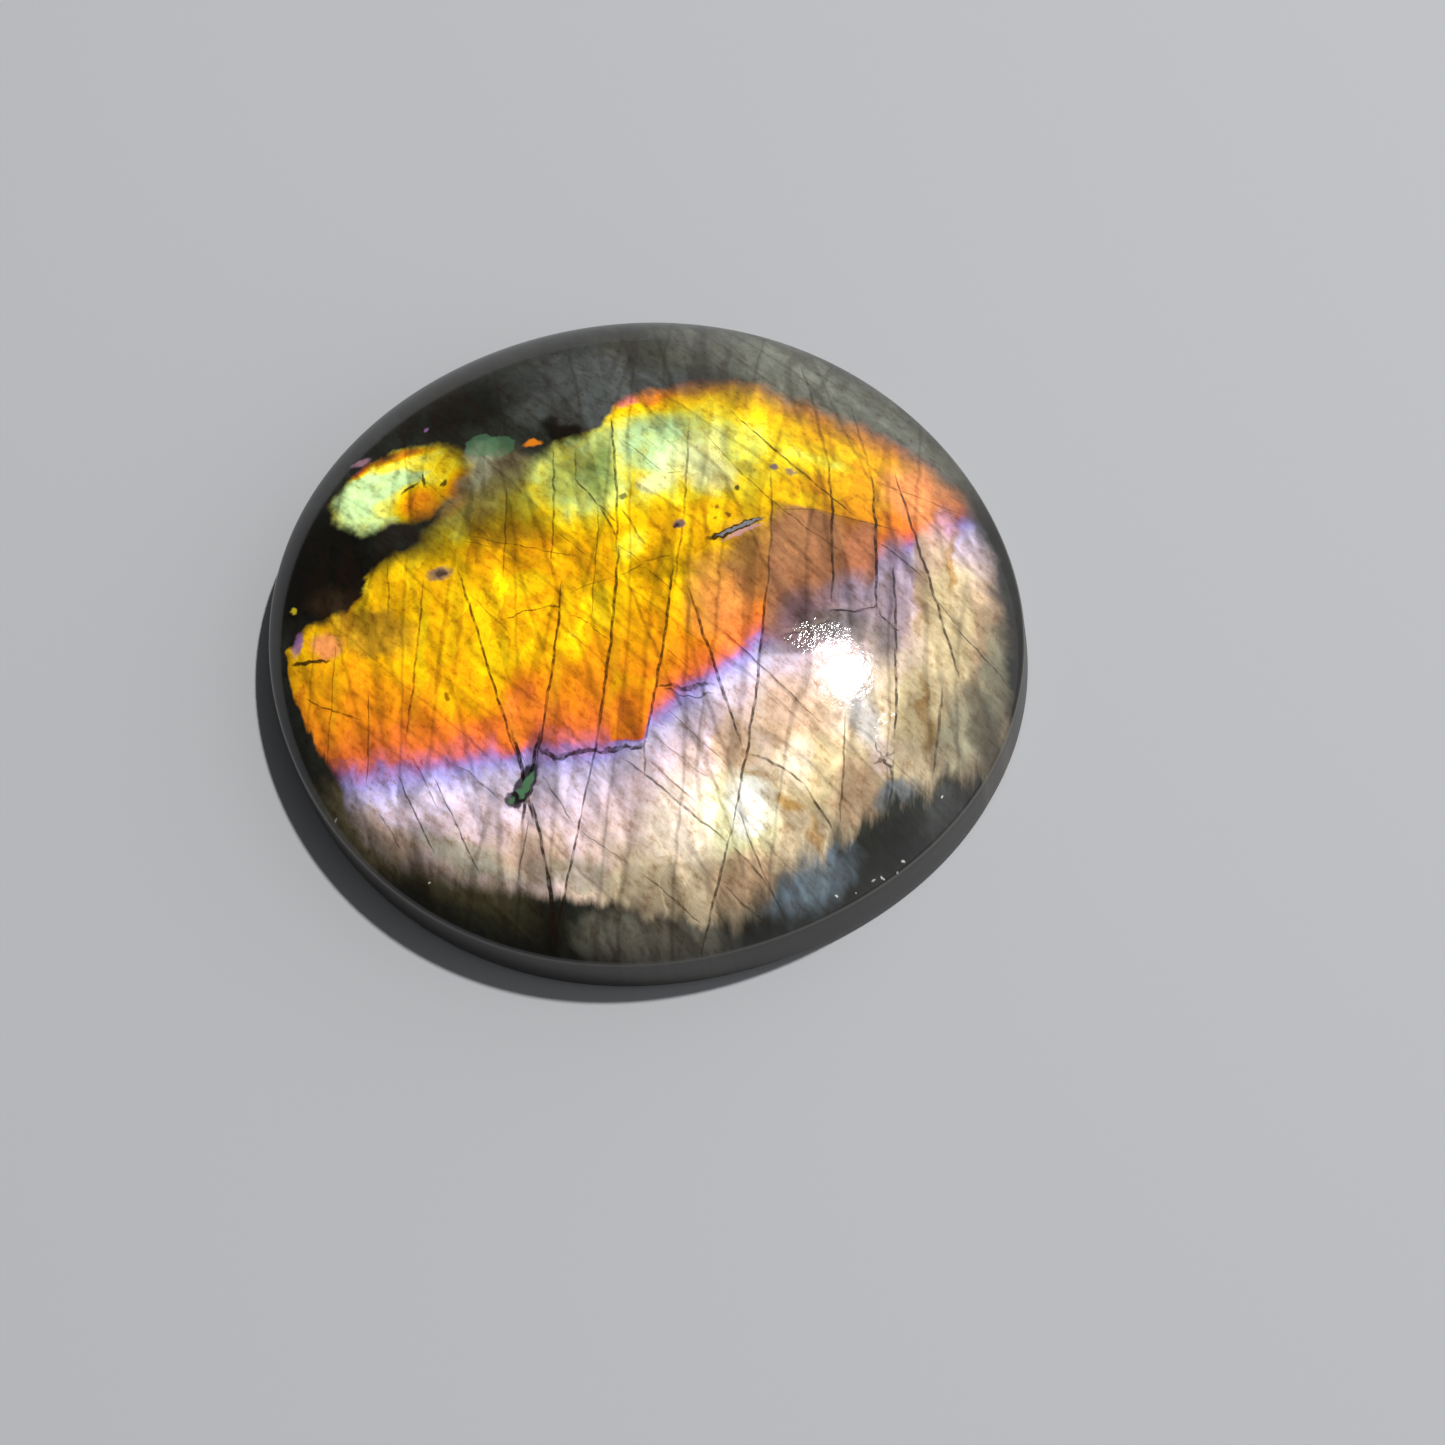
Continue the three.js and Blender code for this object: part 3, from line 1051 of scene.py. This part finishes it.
SEAM_BREADTH = 0.8
GLOW_BREADTH = 3.5
STEEP_SEAMS = (
    ((-13.1, -3.8), (-12.0, -10.2), 0.06, 0.5, 0, 0.2),
    ((-10.8, -6.2), (-9.8, -10.6), 0.07, 0.6, 0, 0),
    ((-9.6, -0.6), (-8.4, -8.8), 0.09, 0.65, 0, 0.4),
    ((-11.5, -0.2), (-10.7, -3.0), 0.07, 0.5, 0, 0.2),
    ((-7.0, 4.4), (-5.8, -0.6), 0.07, 0.55, 0, 0),
    ((-5.5, 6.9), (-3.75, 0.3), 0.08, 0.65, 0, 0.25),
    ((-3.2, 0.3), (-2.2, -9.3), 0.1, 0.85, 0, 0.4),
    ((-3.4, 9.2), (-1.0, 1.4), 0.1, 0.8, 0, 0.2),
    ((-1.15, 2.4), (0.15, -7.0), 0.11, 0.85, 0, 0.4),
    ((0.1, -5.0), (0.2, -11.5), 0.08, 0.75, 0, 0),
    ((0.25, -10.0), (0.0, -15.8), 0.1, 0.85, 0, 0),
    ((-4.35, 6.7), (-3.85, 4.9), 0.07, 0.5, 0, 0),
    ((-2.55, 4.1), (-1.3, -2.2), 0.06, 0.6, 0, 0.2),
    ((0.3, 9.4), (1.9, 0.2), 0.08, 0.6, 0, 0.3),
    ((1.5, 1.9), (2.3, -7.3), 0.11, 0.85, 0, 0.25),
    ((2.25, -6.6), (2.6, -8.3), 0.08, 0.6, 0, 0),
    ((4.6, 7.6), (6.0, 0.6), 0.08, 0.6, 0, 0),
    ((5.7, 2.2), (6.75, -10.4), 0.1, 0.85, 0, 0.3),
    ((6.75, -9.5), (6.3, -15.2), 0.1, 0.8, 0, 0),
    ((4.3, 14.2), (7.2, 7.9), 0.12, 0.5, 0, 0),
    ((6.9, 8.9), (8.85, 1.0), 0.1, 0.85, 0, 0.3),
    ((7.0, 12.4), (9.2, 7.9), 0.1, 0.45, 0, 0),
    ((8.9, 8.8), (10.8, 1.1), 0.11, 0.9, 0, 0.35),
    ((10.9, 4.2), (12.1, -0.4), 0.09, 0.8, 0, 0.3),
    ((11.9, 0.2), (12.8, -4.2), 0.1, 0.85, 0, 0.3),
    ((12.9, -4.6), (13.1, -7.3), 0.07, 0.6, 0, 0.2),
    ((10.4, -3.2), (11.2, -8.4), 0.08, 0.65, 0, 0),
    ((14.2, -0.8), (14.65, -5.2), 0.09, 0.65, 0, 0),
)
FREE_SEAMS = (
    ((-8.3, 0.2), (-2.8, -9.1), 0.09, 0.85, 0, 0.3),
    ((-4.6, -6.3), (-2.5, -9.0), 0.06, 0.6, 0, 0),
    ((2.3, 0.9), (6.6, -6.4), 0.1, 0.85, 0, 0.25),
    ((9.7, 9.4), (15.1, -0.8), 0.1, 0.85, 0, 0.25),
    ((1.6, 10.5), (9.4, 5.7), 0.08, 0.75, -0.15, 0),
    ((0.6, 9.3), (9.8, 3.6), 0.06, 0.55, -0.65, 0),
    ((10.0, 4.95), (12.4, 3.8), 0.08, 0.75, 0.1, 0),
    ((12.7, 3.3), (14.5, 1.9), 0.05, 0.5, 0, 0),
    ((14.2, 1.95), (17.1, 0.2), 0.07, 0.7, 0, 0),
    ((9.2, 8.15), (13.5, 7.85), 0.06, 0.5, 0, 0),
    ((5.2, 5.35), (7.4, 5.85), 0.05, 0.45, 0, 0),
    ((7.2, 5.8), (10.9, 5.85), 0.06, 0.6, 0, 0),
    ((-2.6, 7.7), (0.2, 6.0), 0.05, 0.5, 0, 0),
    ((0.0, 6.05), (0.95, 6.35), 0.05, 0.45, 0, 0),
    ((-3.95, 5.1), (-2.4, 3.8), 0.08, 0.75, 0, 0),
    ((-2.5, 3.9), (-1.4, 3.05), 0.07, 0.7, 0, 0),
    ((-2.4, 3.75), (-1.1, 2.2), 0.08, 0.75, 0, 0),
    ((-1.4, 3.9), (0.2, 2.2), 0.1, 0.6, 0, 0),
    ((-4.1, 2.25), (-2.2, 1.15), 0.05, 0.5, 0, 0),
    ((-8.2, 1.45), (-2.0, 1.05), 0.05, 0.55, -0.05, 0),
    ((-8.2, 1.15), (-6.6, 1.0), 0.04, 0.45, 0, 0),
    ((0.25, 1.45), (-0.65, 0.55), 0.05, 0.5, 0.12, 0),
    ((-0.55, 0.6), (-2.7, -0.7), 0.05, 0.5, 0, 0),
    ((-1.1, 2.0), (0.2, 1.35), 0.05, 0.55, 0, 0),
    ((0.1, 1.4), (1.45, 2.0), 0.06, 0.5, 0, 0),
    ((0.3, 1.2), (1.9, 0.3), 0.05, 0.5, 0, 0),
    ((4.1, -0.9), (9.7, -4.3), 0.06, 0.6, 0, 0),
    ((2.2, -2.45), (3.4, -3.2), 0.04, 0.45, 0, 0),
    ((2.5, -7.5), (5.2, -9.0), 0.06, 0.55, 0, 0),
    ((1.3, -7.6), (6.9, -10.3), 0.08, 0.7, 0, 0.15),
    ((6.7, -10.2), (9.7, -12.5), 0.08, 0.7, 0.2, 0),
    ((2.4, -6.4), (5.6, -7.9), 0.05, 0.45, 0, 0),
    ((2.7, -5.1), (6.3, -7.2), 0.05, 0.45, 0, 0),
    ((0.2, -11.0), (2.8, -12.1), 0.05, 0.5, 0, 0),
    ((3.0, -12.1), (6.4, -13.7), 0.06, 0.6, 0, 0),
    ((6.8, -8.5), (9.7, -12.5), 0.07, 0.65, -0.2, 0),
    ((6.7, -11.85), (8.9, -12.9), 0.06, 0.55, 0, 0),
    ((6.6, -6.35), (9.5, -7.05), 0.08, 0.75, 0.2, 0),
    ((9.4, -7.0), (11.0, -8.6), 0.09, 0.8, 0, 0),
    ((-8.5, -9.8), (-5.9, -13.2), 0.06, 0.75, 0, 0),
    ((-6.85, -9.7), (-3.6, -13.7), 0.06, 0.75, 0, 0),
    ((-9.1, -11.4), (-7.6, -13.0), 0.05, 0.65, 0, 0),
    ((-8.0, -9.0), (-6.2, -11.2), 0.05, 0.5, 0, 0),
    ((-6.1, -9.1), (-3.0, -10.8), 0.05, 0.55, 0.15, 0),
    ((-2.1, -10.1), (-0.8, -12.9), 0.1, 0.9, 0, 0),
    ((-0.95, -12.5), (0.2, -15.9), 0.16, 0.95, 0, 0),
    ((-3.7, -7.2), (-1.7, -11.2), 0.14, 0.95, 0, 0),
    ((-2.4, -7.0), (-2.3, -11.6), 0.14, 0.95, 0, 0),
    ((-2.0, -10.9), (-2.0, -13.9), 0.06, 0.6, 0, 0),
    ((-1.9, -9.0), (0.1, -11.0), 0.06, 0.6, 0, 0),
    ((-14.1, -6.7), (-10.7, -7.7), 0.06, 0.65, -0.1, 0),
    ((-7.2, -1.4), (-4.6, -3.2), 0.05, 0.45, 0, 0),
)
RAGGED_SEAMS = (
    ((-5.5, -2.4), (-2.5, -1.4), 0.06, 0.7, 0, 0.3),
    ((-2.5, -1.8), (-1.3, -1.9), 0.06, 0.6, 0, 0),
    ((-1.4, -1.8), (-0.2, -2.7), 0.06, 0.6, 0, 0),
    ((-2.3, -7.9), (-0.6, -8.1), 0.2, 0.9, 0, 0),
    ((-1.0, -8.1), (0.5, -7.5), 0.17, 0.85, 0, 0),
    ((0.2, -7.7), (2.5, -6.9), 0.18, 0.9, 0, 0),
    ((2.1, -4.35), (4.8, -3.75), 0.15, 0.8, 0, 0),
    ((2.4, -4.5), (5.0, -4.2), 0.1, 0.65, 0, 0),
    ((8.7, 0.7), (10.8, 1.8), 0.1, 0.85, 0, 0.4),
    ((10.7, 1.6), (11.8, 0.9), 0.1, 0.8, 0, 0),
    ((7.1, -1.0), (9.3, 0.5), 0.06, 0.6, 0, 0.4),
    ((12.0, -4.2), (12.9, -5.6), 0.1, 0.8, 0, 0.4),
    ((12.1, -5.5), (12.8, -4.4), 0.08, 0.7, 0, 0),
)


def seam_marks(bench, place, rows):
    """Two fields for a family of seams: how dark each place is, and how lit by the edge beside a seam."""
    dark = 0.0
    lit = 0.0
    for start, end, width, darkness, bow, edge in sorted(rows, key=lambda row: row[3]):
        half_width = width * SEAM_BREADTH
        dark = seam(bench, place, start, end, half_width, bow, dark, darkness)
        if edge:
            glow = half_width * GLOW_BREADTH
            lit = seam(bench, place, start, end, glow, bow, lit, edge, 0.0, glow)
    return dark, lit


def grained(rows):
    """Rows of seams with their two ends moved into grain places."""
    return [(to_grain(start), to_grain(end), *rest) for start, end, *rest in rows]


# The finish

SLANT = math.radians(-31)
CROSSING = math.radians(-60)
CLEAVAGE = math.radians(100)
TONES = (
    (0.37, (0.52, 0.44, 0.36, 1.0)),
    (0.46, (0.76, 0.72, 0.68, 1.0)),
    (0.54, (0.88, 0.88, 0.87, 1.0)),
    (0.64, (1.0, 1.0, 1.0, 1.0)),
)
TONE_GAIN = 1.27
PLATE_CONTRAST = 0.2

# Families of fissures: turn, spacing in millimetres, darkness.
FISSURES = ((CLEAVAGE, 2.6, 0.3), (SLANT, 2.2, 0.25), (CROSSING, 3.0, 0.3))

# How places stray: the noise's scale, the reach in millimetres and the noise's detail.
WANDER = (0.9, 0.22, 2.0)
FRAY = (0.8, 1.1, 4.0)
SPECK_STRAY = (3.0, 0.3, 4.0)

# The dome darkens just inside its rim, a painted shade where it turns steeply away. Heights are in millimetres
# above the flat back: the wall fades out from one to the other, and the painted highlight on the rim's edge
# fades away from its own.
RIM_PAINTED_SHADE = {"centre": (0, 0), "radii": (17.45, 16.15), "inner": 0.84, "low": 0.45}
WALL_TOP = (3.0, 2.8)
WALL_SHARE = 0.7
EDGE_HEIGHT = 2.85
RIM_HIGHLIGHT_FADE = (0.14, 0.03)
RIM_HIGHLIGHT_SHARE = 0.35
POLISH_ROUGHNESS = 0.085
WALL_ROUGHNESS = 0.3


def drawn_places(bench, place, turn, along_scale, across_scale):
    """Places for a pattern that is drawn out in one direction."""
    along = (math.cos(turn) * along_scale, math.sin(turn) * along_scale, 0)
    across = (-math.sin(turn) * across_scale, math.cos(turn) * across_scale, 0)
    return bench.node("ShaderNodeCombineXYZ", None, {0: bench.dot(place, along), 1: bench.dot(place, across)})


def fissured(bench, place, turn, spacing, darkness, colour, colours):
    """The colour, with thin, wandering, dark lines that have a lit edge on one side."""
    width = 0.035
    level = bench.noise(drawn_places(bench, place, turn, 0.11 / spacing, 1 / spacing), 1.0, 2.0, 0.4) - 0.5
    lit = bench.ease(abs(level - 2.2 * width), 1.6 * width, 0.0, 1.0, 1.0 + 0.6 * darkness)
    dark = bench.ease(abs(level), width, 0.2 * width, 0.0, darkness)
    return bench.mix(dark, bench.dimmed(colour, lit), colours["crack"])


def texture_tone(bench, grain, place):
    """The silk along the cleavage, short strokes across it and the cloudiness, as a colour to multiply by."""
    strokes = bench.noise(drawn_places(bench, place, SLANT, 1.4, 4.2), 1.0, 4.0, 0.7)
    silk = bench.noise(bench.vector("MULTIPLY", grain, (4.8, 0.9, 0)), 1.0, 4.0, 0.7)
    clouds = bench.noise(place, 1.5, 7.0, 0.72)
    level = bench.math("MULTIPLY_ADD", strokes, 0.42, 0.14 * silk) + 0.44 * clouds
    return bench.ramp(level, TONES[0][0], TONES[-1][0], TONES)


def facets(bench, drawn_out):
    """A shade from 0 to 1 for each of the little cleavage plates."""
    settings = {"voronoi_dimensions": "2D"}
    cell = bench.node("ShaderNodeTexVoronoi", settings, {"Vector": drawn_out, "Scale": 1.0}, 1)
    return bench.dot(cell, (1, 0, 0))


RELIEF_HEIGHT = 0.03 * MM
PITTED = (
    ((9.8, -1.9), (2.4, 2.8), 20, 0.4, 0.18),
    ((12.4, -4.0), (0.8, 1.6), -10, 0.3, 0.8),
    ((8.4, -0.3), (2.1, 1.1), 22, 0.0, 1.1),
)


def relief(bench, place):
    """The polish: almost smooth, with scratches and pits where the cleavages come out under the highlight."""
    depth = pulled(bench, place, 0.03, PITTED)
    pits = bench.noise(place, 3.2, 3.0, 0.6)
    sockets = {"Strength": 1.0, "Distance": RELIEF_HEIGHT, "Height": pits * depth}
    return bench.node("ShaderNodeBump", None, sockets)


def flash_colour(bench, place, frayed, grain, plates, colours):
    """The colour of the flash all over the stone, and the share with which it shows."""
    depth = flash_depth(bench, place, plates)
    flash = bench.ramp(depth, *DEPTH_RANGE, [(at, colours[name]) for at, name in BANDS])
    flash = tinted(bench, frayed, flash, FLASH_TINTS, colours)
    flash = bench.mix(1.0, flash, column_shade(bench, grain), "MULTIPLY")
    shown, edge_shade = flash_share(bench, place, frayed)
    brightness = pulled(bench, frayed, 1.0, SHADES) * edge_shade
    brightness = brightness * plate(bench, place, DIM_PLATE, 0.2, 2.0, 2.0 * DIM_PLATE_BRIGHTNESS)
    flash = bench.dimmed(flash, brightness)
    return copper_block(bench, place, grain, flash, colours), shown


def textured(bench, place, frayed, grain, plates, colour, colours):
    """The colour, with the fine texture, the little plates and the fissures over it."""
    colour = bench.mix(1.0, colour, texture_tone(bench, grain, place), "MULTIPLY")
    slivers = facets(bench, drawn_places(bench, frayed, SLANT, 0.5, 1.9))
    gain = (PLATE_CONTRAST * TONE_GAIN, (1 - PLATE_CONTRAST) * TONE_GAIN)
    colour = bench.dimmed(colour, bench.math("MULTIPLY_ADD", plates + slivers, *gain))
    for turn, spacing, darkness in FISSURES:
        colour = fissured(bench, place, turn, spacing, darkness, colour, colours)
    return colour


def seamed(bench, place, frayed, grain, colour, colours):
    """The colour, with the cleavage lines, which are fainter in places, and their lit edges."""
    worn = bench.ease(bench.noise(place, 2.4, 3.0), 0.3, 0.6, 0.5, 1.0)
    for rows, places in ((grained(STEEP_SEAMS), grain), (FREE_SEAMS, place), (RAGGED_SEAMS, frayed)):
        dark, lit = seam_marks(bench, places, rows)
        colour = bench.mix(lit, colour, (1.0, 0.95, 0.8, 1.0), "SOFT_LIGHT")
        colour = bench.mix(dark * worn, colour, colours["crack"])
    return colour


def rimmed(bench, place, height, colour, colours):
    """The colour, with painted shade inside the rim, the ground wall and a painted highlight along the rim's
    edge, and 1 on the wall and 0 on the dome.
    """
    # Painted shade: the dome darkens towards its rim.
    colour = bench.dimmed(colour, blot(bench, place, **RIM_PAINTED_SHADE))
    on_wall = bench.ease(height, *WALL_TOP)
    colour = bench.mix(WALL_SHARE * on_wall, colour, colours["wall"])
    # Painted highlight: a lighter line along the rim's edge.
    on_rim_highlight = bench.ease(abs(height - EDGE_HEIGHT), *RIM_HIGHLIGHT_FADE, 0.0, RIM_HIGHLIGHT_SHARE)
    return bench.mix(on_rim_highlight, colour, colours["edge"]), on_wall


def build_finish(material, colours):
    """Lays out the material: flash over feldspar, cleavage lines over both, all under a clear polish."""
    bench = Bench(material.node_tree)
    flat, height = plan_places(bench)
    place = strayed(bench, flat, *WANDER)
    frayed = strayed(bench, place, *FRAY)
    grain = grain_places(bench, place)

    plates = facets(bench, drawn_places(bench, frayed, CLEAVAGE, 0.4, 1.3))
    flash, shown = flash_colour(bench, place, frayed, grain, plates, colours)
    feldspar = tinted(bench, frayed, colours["body"], BODY_TINTS, colours)
    colour = bench.mix(shown, feldspar, flash)
    colour = textured(bench, place, frayed, grain, plates, colour, colours)
    place, grain, frayed = after(bench, colour, place, grain, frayed)
    colour = seamed(bench, place, frayed, grain, colour, colours)
    place, = after(bench, colour, place)
    colour = tinted(bench, strayed(bench, place, *SPECK_STRAY), colour, INCLUSIONS, colours)
    colour, on_wall = rimmed(bench, place, height, colour, colours)

    surface = bench.nodes["Principled BSDF"]
    bench.links.new(colour.socket, surface.inputs["Base Color"])
    bench.links.new((POLISH_ROUGHNESS + WALL_ROUGHNESS * on_wall).socket, surface.inputs["Roughness"])
    bench.links.new(relief(bench, flat).socket, surface.inputs["Normal"])


def labradorite(colours):
    """The stone's one material."""
    make_oval_groups()
    material = bpy.data.materials.new("polished_labradorite")
    material.use_nodes = True
    build_finish(material, colours)
    return material


# The stage

VIEW_AZIMUTH = math.radians(24.7)
VIEW_ELEVATION = math.radians(66)
VIEW_ROLL = math.radians(-12.37)
VIEW_AIM = Vector((4.145, -2.523, 0)) * MM
VIEW_DISTANCE = 147.35 * MM
KEY_DIRECTION = Vector((0.305, 0.286, 0.909))
KEY_DISTANCE = 0.6
KEY_BREADTH = 0.016
KEY_LENGTH = 0.04
KEY_TURN = math.radians(47)
SKY_DIRECTION = Vector((0.8, 0.3, -0.5)).normalized()


def set_camera(stage):
    """Looks down at the stone at the photograph's angle."""
    back = Vector(
        (
            math.sin(VIEW_AZIMUTH) * math.cos(VIEW_ELEVATION),
            -math.cos(VIEW_AZIMUTH) * math.cos(VIEW_ELEVATION),
            math.sin(VIEW_ELEVATION),
        )
    )
    bpy.ops.object.camera_add(location=VIEW_AIM + back * VIEW_DISTANCE)
    camera = bpy.context.active_object
    camera.name = "camera"
    camera.rotation_mode = "QUATERNION"
    camera.rotation_quaternion = (-back).to_track_quat("-Z", "Y") @ Quaternion((0, 0, 1), VIEW_ROLL)
    camera.data.lens = stage.lens
    camera.data.sensor_width = 36
    camera.data.clip_start = 0.01
    camera.data.clip_end = 20
    bpy.context.scene.camera = camera


def add_key(stage):
    """A small, oval light whose reflection is the bright spot on the dome."""
    bpy.ops.object.light_add(type="AREA", location=KEY_DIRECTION.normalized() * KEY_DISTANCE)
    light = bpy.context.active_object
    light.name = "key"
    light.rotation_mode = "QUATERNION"
    light.rotation_quaternion = (-KEY_DIRECTION).to_track_quat("-Z", "Y") @ Quaternion((0, 0, 1), KEY_TURN)
    light.data.shape = "ELLIPSE"
    light.data.size = KEY_BREADTH
    light.data.size_y = KEY_LENGTH
    light.data.energy = stage.key_power


def add_floor(stage):
    bpy.ops.mesh.primitive_circle_add(vertices=96, radius=2.0, fill_type="NGON")
    floor = bpy.context.active_object
    floor.name = "floor"
    material = bpy.data.materials.new("floor_paint")
    material.use_nodes = True
    surface = material.node_tree.nodes["Principled BSDF"]
    surface.inputs["Base Color"].default_value = (*stage.floor, 1.0)
    surface.inputs["Roughness"].default_value = 0.9
    floor.data.materials.append(material)


def set_sky(stage):
    """Soft light from all round, brightest low on the far right and dimmest overhead and in front."""
    world = bpy.data.worlds.new("soft_sky")
    world.use_nodes = True
    bench = Bench(world.node_tree)
    direction = bench.node("ShaderNodeTexCoord", output="Generated")
    towards = bench.dot(direction, SKY_DIRECTION)
    strength = bench.ease(towards, -0.5, 0.8, stage.sky_low, stage.sky_high)
    background = world.node_tree.nodes["Background"]
    background.inputs["Color"].default_value = (*stage.sky, 1.0)
    bench.links.new(strength.socket, background.inputs["Strength"])
    bpy.context.scene.world = world


# Operators

class LABRADORITE_OT_cut(Operator):
    """Cuts the oval, flat-backed stone with its dome, side wall and bevel"""

    bl_idname = "labradorite.cut"
    bl_label = "Cut the cabochon"

    def execute(self, context):
        stone = cut_stone(context.scene.cabochon_sizes)
        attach(stone, "root")
        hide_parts("cabochon")
        return {"FINISHED"}


class LABRADORITE_OT_polish(Operator):
    """Gives the stone its flash, its cleavage lines, its inclusions and its polish"""

    bl_idname = "labradorite.polish"
    bl_label = "Polish the cabochon"

    def execute(self, context):
        scene = context.scene
        colours = palette(scene.flash_colours, scene.tint_colours, scene.body_colours)
        stone = bpy.data.objects["polished_cabochon"]
        stone.data.materials.clear()
        stone.data.materials.append(labradorite(colours))
        return {"FINISHED"}


class LABRADORITE_OT_stage(Operator):
    """Sets a plain floor, soft lights and the camera"""

    bl_idname = "labradorite.stage"
    bl_label = "Set the stage"

    def execute(self, context):
        stage = context.scene.stage_settings
        add_floor(stage)
        set_sky(stage)
        add_key(stage)
        set_camera(stage)
        context.scene.view_settings.view_transform = "Standard"
        return {"FINISHED"}


class LABRADORITE_PT_panel(Panel):
    """Lists the steps of the stone"""

    bl_idname = "LABRADORITE_PT_panel"
    bl_label = "Cabochon"
    bl_space_type = "VIEW_3D"
    bl_region_type = "UI"
    bl_category = "Cabochon"

    def draw(self, context):
        for step in STEPS:
            self.layout.operator(step.bl_idname)


STEPS = (LABRADORITE_OT_cut, LABRADORITE_OT_polish, LABRADORITE_OT_stage)
GROUPS = {
    "cabochon_sizes": CabochonSizes,
    "flash_colours": FlashColours,
    "tint_colours": TintColours,
    "body_colours": BodyColours,
    "stage_settings": StageSettings,
}


def register():
    for made in (*GROUPS.values(), *STEPS, LABRADORITE_PT_panel):
        bpy.utils.register_class(made)
    for name, group in GROUPS.items():
        setattr(bpy.types.Scene, name, PointerProperty(type=group))


def unregister():
    for name in GROUPS:
        delattr(bpy.types.Scene, name)
    for made in (LABRADORITE_PT_panel, *reversed(STEPS), *reversed(GROUPS.values())):
        bpy.utils.unregister_class(made)


def main():
    register()
    bpy.ops.labradorite.cut()
    bpy.ops.labradorite.polish()
    bpy.ops.labradorite.stage()
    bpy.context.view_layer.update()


if __name__ == "__main__":
    main()
